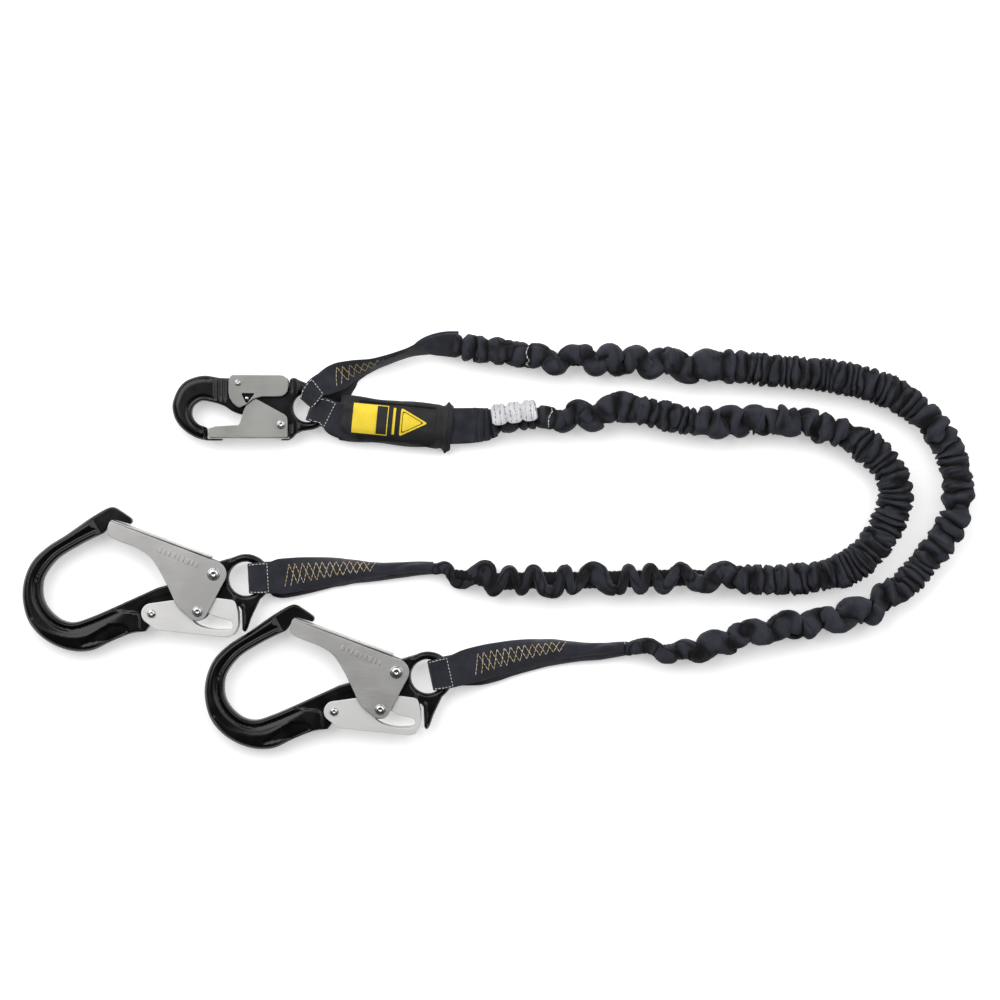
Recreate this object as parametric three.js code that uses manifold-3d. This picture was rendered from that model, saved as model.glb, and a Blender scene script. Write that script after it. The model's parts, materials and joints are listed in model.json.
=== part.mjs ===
// Twin-leg shock absorbing lanyard, laid flat on a table.
// Millimetres, +Z up. The origin is the middle of the shock pack's flat underside; the legs run
// along +X, turn back, and end in two large scaffold hooks. A small snap hook is at the harness end.
import * as THREE from "three";
import { mergeVertices } from "three/addons/utils/BufferGeometryUtils.js";
import Module from "manifold-3d";

const wasm = await Module();
wasm.setup();

// ---- driving dimensions ----
const GAP = 0.3; // clearance between touching pieces
const HOOK_Z = 12.2; // height of every hook's middle plane above the table
const SNAP_EYE = [-79.3, 13.6];
const HOOK_A_EYE = [-134.9, -140.6];
const HOOK_B_EYE = [29, -228.5];

const LEG_RADIUS = 15; // gathered tubular web
const LEG_BORE = 8;
const CORE_RADIUS = 6; // elastic strands inside it
const LEG_Z = LEG_RADIUS + GAP;
const LEG_STEPS = 32;

const PACK = { length: 101, width: 41.5, height: 20, wall: 1.5, turn: -5.5 };
const WEB = 34; // flat webbing inside the shock pack
const PAD = 1.2; // wear pad inside each web loop
const LOOP_WALL = 1.8;

// Scaffold hook: half thicknesses counted from its middle plane.
const BIG = { arm: 8.3, waist: 6.5, ring: 4.8, eyeIn: 15.2, eyeOut: 22.5 };
const BIG_GATE = { inner: 9.2, outer: 11, pivot: [-28, 4.5], shaft: 3.2, head: 4.8 };
const BIG_LOCK = { inner: 7, outer: 8.8, pivot: [-84, -31], shaft: 2.6, head: 4 };
const BIG_PIN = { at: [-42.5, -29], shaft: 2.5, head: 4.4 };
const HEAD = 0.9; // how far the low rivet heads stand out

// Snap hook.
const SMALL = { body: 6, ring: 4.5, eyeIn: 13, eyeOut: 20.5 };
const SMALL_GATE = { inner: 6.8, outer: 8.3, pivot: [-23.5, -15.5], shaft: 2.4, head: 3.8 };
const SMALL_LOCK = { inner: 8.6, outer: 10.1, pivot: [-62, 22], shaft: 1.9, head: 3.2 };
const STOP_PIN = { at: [-54, 8], shaft: 1.8 };
const PRESS_SPRING = { x: -33, low: 11, high: 26.6, radius: 2.2, wire: 0.5 };

// Routes of the two legs, laid on the table; they stay at LEG_Z all the way.
const LEG_A_ROUTE = [
  [53, 69.9], [69, 66.8], [94, 64.3], [119, 59.8], [149, 56.8], [184, 55.8], [224, 53.3],
  [264, 50.3], [304, 50.3], [344, 46.3], [384, 42.8], [419, 36.3], [449, 25.3], [474, 7.3],
  [492, -13.7], [503, -39.7], [506, -63.7], [503, -85.7], [493, -103.7], [480, -120.7],
  [462, -141.7], [441, -159.7], [412, -171.7], [379, -179.7], [344, -185.2], [309, -191.7],
  [279, -202.7], [254, -206.2], [229, -203.7], [207, -203.7],
];
const LEG_B_ROUTE = [
  [87, -0.7], [106, 2.3], [129, 4.8], [154, 5.3], [184, 8.8], [214, 11.8], [242, 5.8],
  [274, 0.3], [309, 0.8], [344, 1.8], [374, -1.7], [399, -8.7], [421, -19.7], [438, -34.7],
  [448, -51.7], [450, -67.7], [445, -85.7], [435, -103.7], [421, -120.7], [403, -132.7],
  [379, -138.7], [349, -141.2], [314, -140.7], [279, -138.7], [244, -139.7], [204, -140.7],
  [164, -141.7], [124, -141.7], [94, -142.7], [64, -138.7], [34, -131.7],
];

// ---- materials ----
const paint = (color, roughness, metalness) =>
  new THREE.MeshStandardMaterial({ color, roughness, metalness });
const WEBBING = paint(0x2b2c33, 0.9, 0);
const COVER = paint(0x1c1c1f, 0.85, 0);
const ELASTIC = paint(0x17171a, 0.8, 0);
const LABEL = paint(0xf0d73c, 0.6, 0);
const TAG = paint(0xf2f2f0, 0.7, 0);
const BLACK_ALLOY = paint(0x0d0d0e, 0.25, 0.7);
const PLATE = paint(0xb9bab8, 0.4, 1);
const STEEL = paint(0xa8a9ab, 0.3, 1);

// ---- geometry helpers ----
const radians = THREE.MathUtils.degToRad;

function arc(centre, radius, from, to, steps) {
  const points = [];
  for (let i = 0; i <= steps; i++) {
    const angle = radians(from + ((to - from) * i) / steps);
    points.push([centre[0] + radius * Math.cos(angle), centre[1] + radius * Math.sin(angle)]);
  }
  return points;
}

function smooth(points, steps) {
  const spline = new THREE.SplineCurve(points.map((p) => new THREE.Vector2(...p)));
  return spline.getPoints(steps).map((p) => [p.x, p.y]);
}

const shapeOf = (points) => new THREE.Shape(points.map((p) => new THREE.Vector2(...p)));

function solid(geometry) {
  const bare = geometry.clone();
  bare.deleteAttribute("normal");
  bare.deleteAttribute("uv");
  const merged = mergeVertices(bare, 1e-4);
  return new wasm.Manifold(
    new wasm.Mesh({
      numProp: 3,
      vertProperties: merged.attributes.position.array,
      triVerts: new Uint32Array(merged.index.array),
    }),
  );
}

// A flat outline given thickness between two heights; bevel rounds both rims.
function plate(points, low, high, bevel = 0) {
  const geometry = new THREE.ExtrudeGeometry(shapeOf(points), {
    depth: high - low - 2 * bevel,
    bevelEnabled: bevel > 0,
    bevelThickness: bevel,
    bevelSize: bevel,
    bevelOffset: -bevel,
    bevelSegments: 1,
  });
  return solid(geometry.translate(0, 0, low + bevel));
}

const rod = (centre, radius, low, high, sides = 20) =>
  plate(arc(centre, radius, 0, 360 - 360 / sides, sides - 1), low, high);

const block = (x0, x1, y0, y1, low, high) =>
  plate([[x0, y0], [x1, y0], [x1, y1], [x0, y1]], low, high);

function mesh(name, made, material) {
  const data = made.getMesh();
  const geometry = new THREE.BufferGeometry();
  geometry.setAttribute("position", new THREE.BufferAttribute(data.vertProperties, 3));
  geometry.setIndex(new THREE.BufferAttribute(data.triVerts, 1));
  geometry.computeVertexNormals();
  const result = new THREE.Mesh(geometry, material);
  result.name = name;
  return result;
}

// A rivet or pin: a shaft with a low domed head over each outer plate.
function rivet(centre, shaft, head, seat, top) {
  const profile = [
    [0, -top], [head * 0.7, -top], [head, -seat - 0.2 * (top - seat)], [head, -seat],
    [shaft, -seat], [shaft, seat], [head, seat], [head, seat + 0.2 * (top - seat)],
    [head * 0.7, top], [0, top],
  ];
  const turned = new THREE.LatheGeometry(profile.map((p) => new THREE.Vector2(...p)), 14);
  return solid(turned.rotateX(Math.PI / 2).translate(centre[0], centre[1], 0));
}

class Helix extends THREE.Curve {
  constructor(radius, height, turns) {
    super();
    Object.assign(this, { radius, height, turns });
  }
  getPoint(t, target = new THREE.Vector3()) {
    const angle = 2 * Math.PI * this.turns * t;
    return target.set(this.radius * Math.cos(angle), this.radius * Math.sin(angle), this.height * t);
  }
}

// A wound wire spring standing on the XY plane.
function spring(radius, wire, height, turns) {
  const section = shapeOf(arc([0, 0], wire, 0, 288, 4));
  return new THREE.ExtrudeGeometry(section, {
    steps: Math.round(turns * 9),
    bevelEnabled: false,
    extrudePath: new Helix(radius, height, turns),
  });
}

// Webbing lofted through stations { at: [x, y, z], w, t }: a soft-edged rectangle w wide, t thick.
function webbing(stations) {
  const section = [
    [-0.5, -0.2], [-0.44, -0.5], [0.44, -0.5], [0.5, -0.2],
    [0.5, 0.2], [0.44, 0.5], [-0.44, 0.5], [-0.5, 0.2],
  ];
  const places = stations.map((s) => new THREE.Vector3(...s.at));
  const vertices = [];
  stations.forEach((station, i) => {
    const before = places[Math.max(i - 1, 0)];
    const after = places[Math.min(i + 1, places.length - 1)];
    const along = after.clone().sub(before).setZ(0).normalize();
    const across = new THREE.Vector3(-along.y, along.x, 0);
    for (const [u, v] of section) {
      const p = places[i].clone().addScaledVector(across, u * station.w);
      vertices.push(p.x, p.y, p.z + v * station.t);
    }
  });
  const n = section.length;
  const last = (stations.length - 1) * n;
  const faces = [];
  for (let i = 0; i < stations.length - 1; i++) {
    for (let k = 0; k < n; k++) {
      const a = i * n + k;
      const b = i * n + ((k + 1) % n);
      faces.push(a, b + n, b, a, a + n, b + n);
    }
  }
  for (let k = 1; k < n - 1; k++) {
    faces.push(0, k, k + 1, last, last + k + 1, last + k);
  }
  const geometry = new THREE.BufferGeometry();
  geometry.setAttribute("position", new THREE.Float32BufferAttribute(vertices, 3));
  geometry.setIndex(faces);
  return facingOut(solid(geometry), geometry);
}

// Turns a loft round when its faces point in.
function facingOut(made, geometry) {
  if (made.volume() > 0) return made;
  const index = geometry.index.array;
  for (let i = 0; i < index.length; i += 3) {
    [index[i + 1], index[i + 2]] = [index[i + 2], index[i + 1]];
  }
  return solid(geometry);
}

// A rounded rectangle in the plane that holds `turn` and Z, thickened along the third direction.
function roundedBar(centre, half, width, turn, eye) {
  const r = Math.min(half[0], half[1]) * 0.5;
  const [hx, hz] = [half[0] - r, half[1] - r];
  const points = [
    ...arc([centre + hx, hz], r, 0, 90, 4), ...arc([centre - hx, hz], r, 90, 180, 4),
    ...arc([centre - hx, -hz], r, 180, 270, 4), ...arc([centre + hx, -hz], r, 270, 360, 4),
  ];
  const geometry = new THREE.ExtrudeGeometry(shapeOf(points), { depth: width, bevelEnabled: false });
  geometry.translate(0, 0, -width / 2).rotateX(Math.PI / 2).rotateZ(radians(turn));
  return solid(geometry.translate(eye[0], eye[1], HOOK_Z));
}

// A web loop through a hook's eye, sewn to a strap that runs on through `stations`.
function loopedStrap(eye, turn, ringMiddle, room, width, stations) {
  const bar = (grow, extra = 0) =>
    roundedBar(ringMiddle, [room[0] + grow, room[1] + grow], width + extra, turn, eye);
  const wall = PAD + GAP + LOOP_WALL;
  const pad = bar(PAD).subtract(bar(0, 4));
  const strap = bar(wall).add(webbing(stations)).subtract(bar(PAD + GAP, 4));
  return { strap, pad };
}

// ---- the scaffold hook, about its eye's centre ----
function bigBodyOutline() {
  return [
    [-104, 49], [-102, 53], [-104, 55.5], [-117, 64],
    ...smooth([[-122, 65], [-140, 55], [-160, 41], [-180, 28], [-193, 15], [-200, -2], [-201, -20],
      [-195, -40], [-181, -55], [-160, -64.5], [-140, -65], [-120, -56], [-103, -49.5], [-90, -47.5]], 26),
    [-85, -41], [-78, -39], [-60, -26], [-46, -24.5], [-12, -24.5], [-6, -25],
    [-4, -28], [-3.5, -45], [-1, -48], [2, -44], [5, -35],
    ...arc([0, 0], BIG.eyeOut, -55, 116, 16),
    ...arc(BIG_GATE.pivot, 11, 80, 170, 4),
    [-60, -2], [-71, -5.5],
    ...smooth([[-80, -8], [-100, -17], [-120, -26], [-140, -34.5], [-155, -39], [-165, -37],
      [-172, -32.5], [-178, -26], [-182, -18], [-183, -8], [-181, 2], [-170, 17], [-150, 30],
      [-128, 41]], 24),
    [-126, 43], [-121, 53], [-119, 54.5],
  ];
}

function bigBody() {
  let body = plate(bigBodyOutline(), -BIG.arm, BIG.arm, 2);
  for (const side of [-1, 1]) {
    const span = (from, to) => [Math.min(side * from, side * to), Math.max(side * from, side * to)];
    const waist = [[-94.5, -50], [-94.5, -27], [-88, -19.5], [-69, -13.5], [-30, -5.2], [-13, -4.7],
      [-8, -8.5], [8, -14.5], [8, -50]];
    body = body.subtract(plate(waist, ...span(BIG.waist, BIG.arm + 1)));
    body = body.subtract(block(-8, 24, -50, 30, ...span(BIG.ring, BIG.arm + 1)));
  }
  const clear = 0.25;
  return body
    .subtract(rod([0, 0], BIG.eyeIn, -10, 10, 36))
    .subtract(rod(BIG_GATE.pivot, BIG_GATE.shaft + clear, -10, 10))
    .subtract(rod(BIG_LOCK.pivot, BIG_LOCK.shaft + clear, -10, 10))
    .subtract(rod(BIG_GATE.pivot, 7.5, 2, 10))
    .subtract(rod(BIG_LOCK.pivot, 6.6, 1, 10));
}

const bigGateOutline = () => [
  [-120.5, 52], [-122.5, 47], [-123, 43], [-120, 37.3],
  ...smooth([[-110, 33], [-97, 28], [-85, 20], [-75, 5], [-70, -5], [-60, -25], [-53, -31.5]], 12),
  ...arc(BIG_PIN.at, 8.6, 235, 330, 5),
  ...arc(BIG_GATE.pivot, 11.5, -27, 64, 6),
];

function bigGate() {
  const hollow = [[-140, 70], [-119, 70], [-119, 49.5], [-34, 18.3], [-34, 40], [0, 40], [0, -60], [-140, -60]];
  const clear = 0.25;
  return plate(bigGateOutline(), -BIG_GATE.outer, BIG_GATE.outer)
    .subtract(plate(hollow, -BIG_GATE.inner, BIG_GATE.inner))
    .subtract(rod(BIG_GATE.pivot, BIG_GATE.shaft + clear, -12, 12))
    .subtract(rod(BIG_PIN.at, BIG_PIN.shaft + clear, -12, 12));
}

const bigLockOutline = () => [
  ...arc(BIG_LOCK.pivot, 9.3, 100, 235, 8),
  [-80, -45.7], [-18, -52.2], [-12, -51], [-8, -47], [-6, -40], [-6.5, -30], [-8.5, -21.5],
  [-12, -18.7], [-25, -17], [-65, -19],
];

// The long window that lets the gate's lock pin leave its notch and sweep along.
const bigLockWindow = () => [
  ...arc(BIG_PIN.at, 3.1, 60, 180, 4),
  [-48.3, -36.4], [-45, -39.4], [-35, -44], [-25, -45.6], [-14, -44.9], [-11.4, -43],
  [-11.2, -40], [-13, -37], [-22, -35.8], [-26.8, -33.7],
];

function bigLock() {
  const hollow = [[-100, 0], [-100, -60], [-79, -60], [-79, -44], [-19, -50.3], [-19, -60], [0, -60], [0, 0]];
  return plate(bigLockOutline(), -BIG_LOCK.outer, BIG_LOCK.outer)
    .subtract(plate(hollow, -BIG_LOCK.inner, BIG_LOCK.inner))
    .subtract(plate(bigLockWindow(), -12, 12))
    .subtract(rod(BIG_LOCK.pivot, BIG_LOCK.shaft + 0.25, -12, 12));
}

function scaffoldHook(name, eye) {
  const hook = new THREE.Group();
  hook.position.set(eye[0], eye[1], HOOK_Z);
  const gateSeat = BIG_GATE.outer + 0.1;
  const lockSeat = BIG_LOCK.outer + 0.1;
  const top = gateSeat + HEAD;
  const gateSpring = spring(5.4, 0.9, 3.6, 2);
  gateSpring.translate(BIG_GATE.pivot[0], BIG_GATE.pivot[1], 3.4);
  const lockSpring = spring(4.6, 0.8, 2.8, 2);
  lockSpring.translate(BIG_LOCK.pivot[0], BIG_LOCK.pivot[1], 2.4);
  hook.add(
    mesh(name + "_body", bigBody(), BLACK_ALLOY),
    mesh(name + "_gate", bigGate(), PLATE),
    mesh(name + "_lock_lever", bigLock(), PLATE),
    mesh(name + "_gate_rivet", rivet(BIG_GATE.pivot, BIG_GATE.shaft, BIG_GATE.head, gateSeat, top), STEEL),
    mesh(name + "_lock_pin", rivet(BIG_PIN.at, BIG_PIN.shaft, BIG_PIN.head, gateSeat, top), STEEL),
    mesh(name + "_lever_rivet", rivet(BIG_LOCK.pivot, BIG_LOCK.shaft, BIG_LOCK.head, lockSeat, lockSeat + 1.3), STEEL),
    mesh(name + "_gate_spring", solid(gateSpring), STEEL),
    mesh(name + "_lever_spring", solid(lockSpring), STEEL),
  );
  return hook;
}

// ---- the snap hook, about its eye's centre ----
const smallBodyOutline = () => [
  [-8, 25], [-13, 27], [-16, 25.5], [-17, 18.4], [-24, 17], [-55, 24], [-60, 26.3], [-66, 26.3],
  [-71.5, 26.6], [-80, 27],
  ...smooth([[-85, 28], [-92, 29], [-100, 28], [-110, 24], [-116, 18], [-120, 10], [-122, 2],
    [-121, -6], [-118, -13], [-112, -20], [-103, -26.2], [-95, -29], [-86, -29.9]], 22),
  [-77, -29.9], [-75.2, -28], [-90.3, -28], [-90.3, -18.5],
  ...smooth([[-93, -17], [-98, -15], [-102, -11], [-104, -6], [-103, 0], [-100, 3.5], [-95, 6],
    [-90, 5.5], [-80, 3], [-74, 0.5], [-68, -3.5], [-62, -6]], 20),
  [-50, -8.5], [-40, -13.5], [-33, -19.5], [-29, -22.5], [-24, -23.8], [-17, -24],
  [-16.5, -27.9], [-24, -28], [-24, -29.6], [-17, -29.6], [-13.5, -27.7], [-10, -24], [-5, -21.5],
  ...arc([0, 0], SMALL.eyeOut, -85, 78, 14),
];

function smallBody() {
  const reach = 10;
  let body = plate(smallBodyOutline(), -SMALL.body, SMALL.body, 0.5);
  body = body.subtract(block(-6, 24, -40, 40, SMALL.ring, reach));
  body = body.subtract(block(-6, 24, -40, 40, -reach, -SMALL.ring));
  const bore = rod([0, 0], PRESS_SPRING.radius + PRESS_SPRING.wire + 0.4, 0, 30, 12);
  return body
    .subtract(rod([0, 0], SMALL.eyeIn, -reach, reach, 32))
    .subtract(rod(SMALL_GATE.pivot, SMALL_GATE.shaft + 0.25, -reach, reach))
    .subtract(rod(SMALL_LOCK.pivot, SMALL_LOCK.shaft + 0.25, -reach, reach))
    .subtract(rod(STOP_PIN.at, STOP_PIN.shaft + 0.15, -reach, reach))
    .subtract(rod(SMALL_GATE.pivot, 6, 1, reach))
    .subtract(bore.rotate([-90, 0, 0]).translate([PRESS_SPRING.x, PRESS_SPRING.low - 0.5, 0]));
}

function smallGate() {
  const outline = [
    [-45, 7.2], [-48, 7], [-54.4, 2.4], [-57.1, -3.1], [-58.8, -9.2], [-60, -13], [-62, -16],
    [-82, -17], [-88.5, -19],
    [-88.5, -26.3], [-87, -27.5], [-19, -27.5], [-17.5, -26], [-17.5, -12], [-18, -9], [-20, -6.5],
  ];
  const hollow = [[-100, 20], [-100, -26], [-27, -26], [-27, -40], [0, -40], [0, 20]];
  return plate(outline, -SMALL_GATE.outer, SMALL_GATE.outer)
    .subtract(plate(hollow, -SMALL_GATE.inner, SMALL_GATE.inner))
    .subtract(rod(SMALL_GATE.pivot, SMALL_GATE.shaft + 0.25, -12, 12));
}

function smallLock() {
  const outline = [
    [-24, 28.8], [-66, 29], [-69, 27.6], [-70.3, 24], [-70.5, 14], [-69.5, 8.5], [-66.5, 3.5],
    [-62.5, 0.3], [-60, -0.5], [-55, 2], [-48.5, 7], [-43, 8.7], [-40, 9.5], [-25, 9.5], [-20, 11],
    [-17, 16], [-17, 22], [-19, 26],
  ];
  const hollow = [[-80, 27.3], [-80, -10], [0, -10], [0, 40], [-25, 40], [-25, 27.3]];
  const window = [[-59.5, 12.8], [-54.9, 2.6], [-54, 2.6], [-45.6, 12.8]];
  return plate(outline, -SMALL_LOCK.outer, SMALL_LOCK.outer)
    .subtract(plate(hollow, -SMALL_LOCK.inner, SMALL_LOCK.inner))
    .subtract(plate(window, -12, 12))
    .subtract(rod(SMALL_LOCK.pivot, SMALL_LOCK.shaft + 0.25, -12, 12));
}

function snapHook(eye) {
  const hook = new THREE.Group();
  hook.position.set(eye[0], eye[1], HOOK_Z);
  const gateSeat = SMALL_GATE.outer + 0.1;
  const lockSeat = SMALL_LOCK.outer + 0.1;
  const gateSpring = spring(4.3, 0.7, 2.6, 2);
  gateSpring.translate(SMALL_GATE.pivot[0], SMALL_GATE.pivot[1], 2.2);
  const pressSpring = spring(PRESS_SPRING.radius, PRESS_SPRING.wire, PRESS_SPRING.high - PRESS_SPRING.low - 1, 4);
  pressSpring.rotateX(-Math.PI / 2).translate(PRESS_SPRING.x, PRESS_SPRING.low + 0.5, 0);
  hook.add(
    mesh("snap_body", smallBody(), BLACK_ALLOY),
    mesh("snap_gate", smallGate(), PLATE),
    mesh("snap_lock_lever", smallLock(), PLATE),
    mesh("snap_gate_rivet", rivet(SMALL_GATE.pivot, SMALL_GATE.shaft, SMALL_GATE.head, gateSeat, gateSeat + 2), STEEL),
    mesh("snap_lever_rivet", rivet(SMALL_LOCK.pivot, SMALL_LOCK.shaft, SMALL_LOCK.head, lockSeat, lockSeat + 1.7), STEEL),
    mesh("snap_stop_pin", rod(STOP_PIN.at, STOP_PIN.shaft, -9.8, 9.8), STEEL),
    mesh("snap_gate_spring", solid(gateSpring), STEEL),
    mesh("snap_lever_spring", solid(pressSpring), STEEL),
  );
  return hook;
}

// ---- the shock pack ----
function roundedRectangle(width, height, radius, steps) {
  const [w, h] = [width / 2 - radius, height / 2 - radius];
  return [
    ...arc([w, h], radius, 0, 90, steps), ...arc([-w, h], radius, 90, 180, steps),
    ...arc([-w, -h], radius, 180, 270, steps), ...arc([w, -h], radius, 270, 360, steps),
  ];
}

// Sets a piece that was extruded along Z so that it runs along X, centred, Y across and Z up.
const alongX = (geometry, length) =>
  geometry.translate(0, 0, -length / 2).rotateX(Math.PI / 2).rotateZ(Math.PI / 2);

function packCover() {
  const { length, width, height, wall } = PACK;
  const sleeve = shapeOf(roundedRectangle(width, height, 4, 4));
  sleeve.holes.push(shapeOf(roundedRectangle(width - 2 * wall, height - 2 * wall, 3, 4)));
  const geometry = new THREE.ExtrudeGeometry(sleeve, { depth: length, bevelEnabled: false });
  return solid(alongX(geometry, length).translate(0, 0, height / 2));
}

// The tear webbing: one strap folded back and forth, stitched so that it rips open in a fall.
function tearWeb() {
  const layers = 6;
  const pitch = 2.5;
  const thickness = 1.7;
  const reach = 34;
  const centre = [];
  for (let k = 0; k < layers; k++) {
    const side = k % 2 ? -1 : 1;
    centre.push([-side * reach, k * pitch]);
    if (k < layers - 1) {
      for (const angle of [-90, -45, 0, 45]) {
        const a = radians(angle);
        centre.push([side * (reach + (pitch / 2) * Math.cos(a)), (k + 0.5 + Math.sin(a) / 2) * pitch]);
      }
    } else {
      centre.push([side * reach, k * pitch]);
    }
  }
  const edge = (sign) => centre.map((p, i) => {
    const a = centre[Math.max(i - 1, 0)];
    const b = centre[Math.min(i + 1, centre.length - 1)];
    const run = Math.hypot(b[0] - a[0], b[1] - a[1]);
    const half = (sign * thickness) / 2;
    return [p[0] - (half * (b[1] - a[1])) / run, p[1] + (half * (b[0] - a[0])) / run];
  });
  const outline = [...edge(-1), ...edge(1).reverse()];
  const geometry = new THREE.ExtrudeGeometry(shapeOf(outline), { depth: WEB, bevelEnabled: false });
  geometry.translate(0, 0, -WEB / 2).rotateX(Math.PI / 2);
  return solid(geometry.translate(0, 0, 3.6));
}

function shockPack() {
  const pack = new THREE.Group();
  pack.rotation.z = radians(PACK.turn);
  pack.add(
    mesh("pack_cover", packCover(), COVER),
    mesh("pack_label", block(-42, 36, -16, 16, PACK.height + GAP, PACK.height + GAP + 0.6), LABEL),
    mesh("tear_web", tearWeb(), WEBBING),
  );
  return pack;
}

// ---- the legs ----
function legPath(route) {
  return new THREE.CatmullRomCurve3(route.map(([x, y]) => new THREE.Vector3(x, y, LEG_Z)), false, "centripetal");
}

function legTube(route, radius, sides, bore = 0) {
  const section = shapeOf(arc([0, 0], radius, 0, 360 - 360 / sides, sides - 1));
  if (bore) section.holes.push(shapeOf(arc([0, 0], bore, 0, 300, 5)));
  return solid(new THREE.ExtrudeGeometry(section, {
    steps: LEG_STEPS,
    bevelEnabled: false,
    extrudePath: legPath(route),
  }));
}

// The folded care tag that lies over the inner leg where it leaves the shock pack.
function inspectionTag() {
  const [inner, outer, length] = [LEG_RADIUS + 1.3, LEG_RADIUS + 2.1, 38];
  const section = shapeOf([...arc([0, 0], outer, 5, 105, 6), ...arc([0, 0], inner, 105, 5, 6)]);
  const geometry = new THREE.ExtrudeGeometry(section, { depth: length, bevelEnabled: false });
  alongX(geometry, length).rotateZ(radians(7.5));
  return solid(geometry.translate(108, 2.4, LEG_Z));
}

const linkWeb = () => webbing([
  { at: [40, -3.3, 10], w: 33, t: 5 }, { at: [49, -2.9, 10], w: 33, t: 5 },
  { at: [67, -2.2, 9], w: 32, t: 5 }, { at: [85.6, -1.1, 10], w: 29, t: 6 },
]);

// ---- the straps: each one loops through a hook's eye ----
const SNAP_RING = (SMALL.eyeIn + SMALL.eyeOut) / 2;
const BIG_RING = (BIG.eyeIn + BIG.eyeOut) / 2;
const SNAP_ROOM = [6.5, 8.8];
const BIG_ROOM = [8.4, 8.6];

const STRAPS = {
  leg_a_snap: loopedStrap(SNAP_EYE, 50, SNAP_RING, SNAP_ROOM, 9.4, [
    { at: [-64.1, 31.7, HOOK_Z], w: 15, t: 6 }, { at: [-60.7, 35.8, 11], w: 22, t: 6 },
    { at: [-53, 42.3, 9], w: 25, t: 5 }, { at: [-44, 44.8, 7.5], w: 21, t: 5 },
    { at: [-34, 47.8, 6.5], w: 14, t: 6 }, { at: [-21, 51.8, 6], w: 10, t: 8 },
    { at: [-6, 56.3, 6], w: 8, t: 9 }, { at: [9, 61.8, 6.5], w: 9, t: 9 },
    { at: [24, 67.8, 8], w: 15, t: 8 }, { at: [38, 70.3, 10], w: 19, t: 7 },
    { at: [50.4, 70.4, 12], w: 21, t: 7 },
  ]),
  leg_b_snap: loopedStrap(SNAP_EYE, -20, SNAP_RING, SNAP_ROOM, 9.4, [
    { at: [-56.9, 5.5, HOOK_Z], w: 20, t: 6 }, { at: [-53, 4.4, HOOK_Z], w: 33, t: 5 },
    { at: [-46, 4.3, HOOK_Z], w: WEB, t: 4 }, { at: [-37, 3.5, HOOK_Z], w: WEB, t: 4 },
  ]),
  leg_a_end: loopedStrap(HOOK_B_EYE, 12, BIG_RING, BIG_ROOM, 17, [
    { at: [56.8, -222.6, HOOK_Z], w: 20, t: 6 }, { at: [61, -221, 11], w: 32, t: 6 },
    { at: [74, -216.7, 8], w: 30, t: 5 }, { at: [94, -213.2, 5.5], w: 25, t: 5 },
    { at: [114, -210.2, 5], w: 23, t: 5 }, { at: [139, -206.2, 5], w: 18, t: 6 },
    { at: [154, -205.2, 5.5], w: 16, t: 7 }, { at: [174, -205.2, 6.5], w: 12, t: 9 },
    { at: [205.6, -203.6, 9], w: 13, t: 10 },
  ]),
  leg_b_end: loopedStrap(HOOK_A_EYE, 3, BIG_RING, BIG_ROOM, 17, [
    { at: [-106.5, -139.1, HOOK_Z], w: 20, t: 6 }, { at: [-102.5, -138.7, 11], w: 31, t: 6 },
    { at: [-94, -137.5, 9.5], w: 30, t: 5 }, { at: [-76, -135.7, 6.5], w: 24, t: 5 },
    { at: [-56, -133.7, 5], w: 20, t: 5 }, { at: [-36, -133.7, 5], w: 16, t: 6 },
    { at: [-16, -133.2, 5.5], w: 12, t: 8 }, { at: [4, -130.6, 6], w: 11, t: 9 },
    { at: [31.4, -131.2, 9], w: 12, t: 10 },
  ]),
};

// ---- the whole lanyard ----
const lanyard = new THREE.Group();
lanyard.add(shockPack(), snapHook(SNAP_EYE));
lanyard.add(scaffoldHook("hook_a", HOOK_A_EYE), scaffoldHook("hook_b", HOOK_B_EYE));
for (const [name, { strap, pad }] of Object.entries(STRAPS)) {
  lanyard.add(mesh(name + "_strap", strap, WEBBING), mesh(name + "_wear_pad", pad, WEBBING));
}
for (const [name, route] of [["leg_a", LEG_A_ROUTE], ["leg_b", LEG_B_ROUTE]]) {
  lanyard.add(
    mesh(name + "_gathered_web", legTube(route, LEG_RADIUS, 10, LEG_BORE), WEBBING),
    mesh(name + "_elastic_core", legTube(route, CORE_RADIUS, 6), ELASTIC),
  );
}
lanyard.add(mesh("link_web", linkWeb(), WEBBING), mesh("inspection_tag", inspectionTag(), TAG));

export default lanyard;
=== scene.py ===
"""Looks of a twin-leg shock absorbing lanyard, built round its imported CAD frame.

Shapes are worked out in millimetres, in the CAD model's own frame, and become metres in put_mesh().
The camera and the two gathered legs come first; the hooks, the straps, the pack and the tag follow.
"""
import json
import math

import bmesh
import bpy
import numpy as np
from mathutils import Matrix, Vector
from mathutils.bvhtree import BVHTree
from mathutils.geometry import delaunay_2d_cdt

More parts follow.
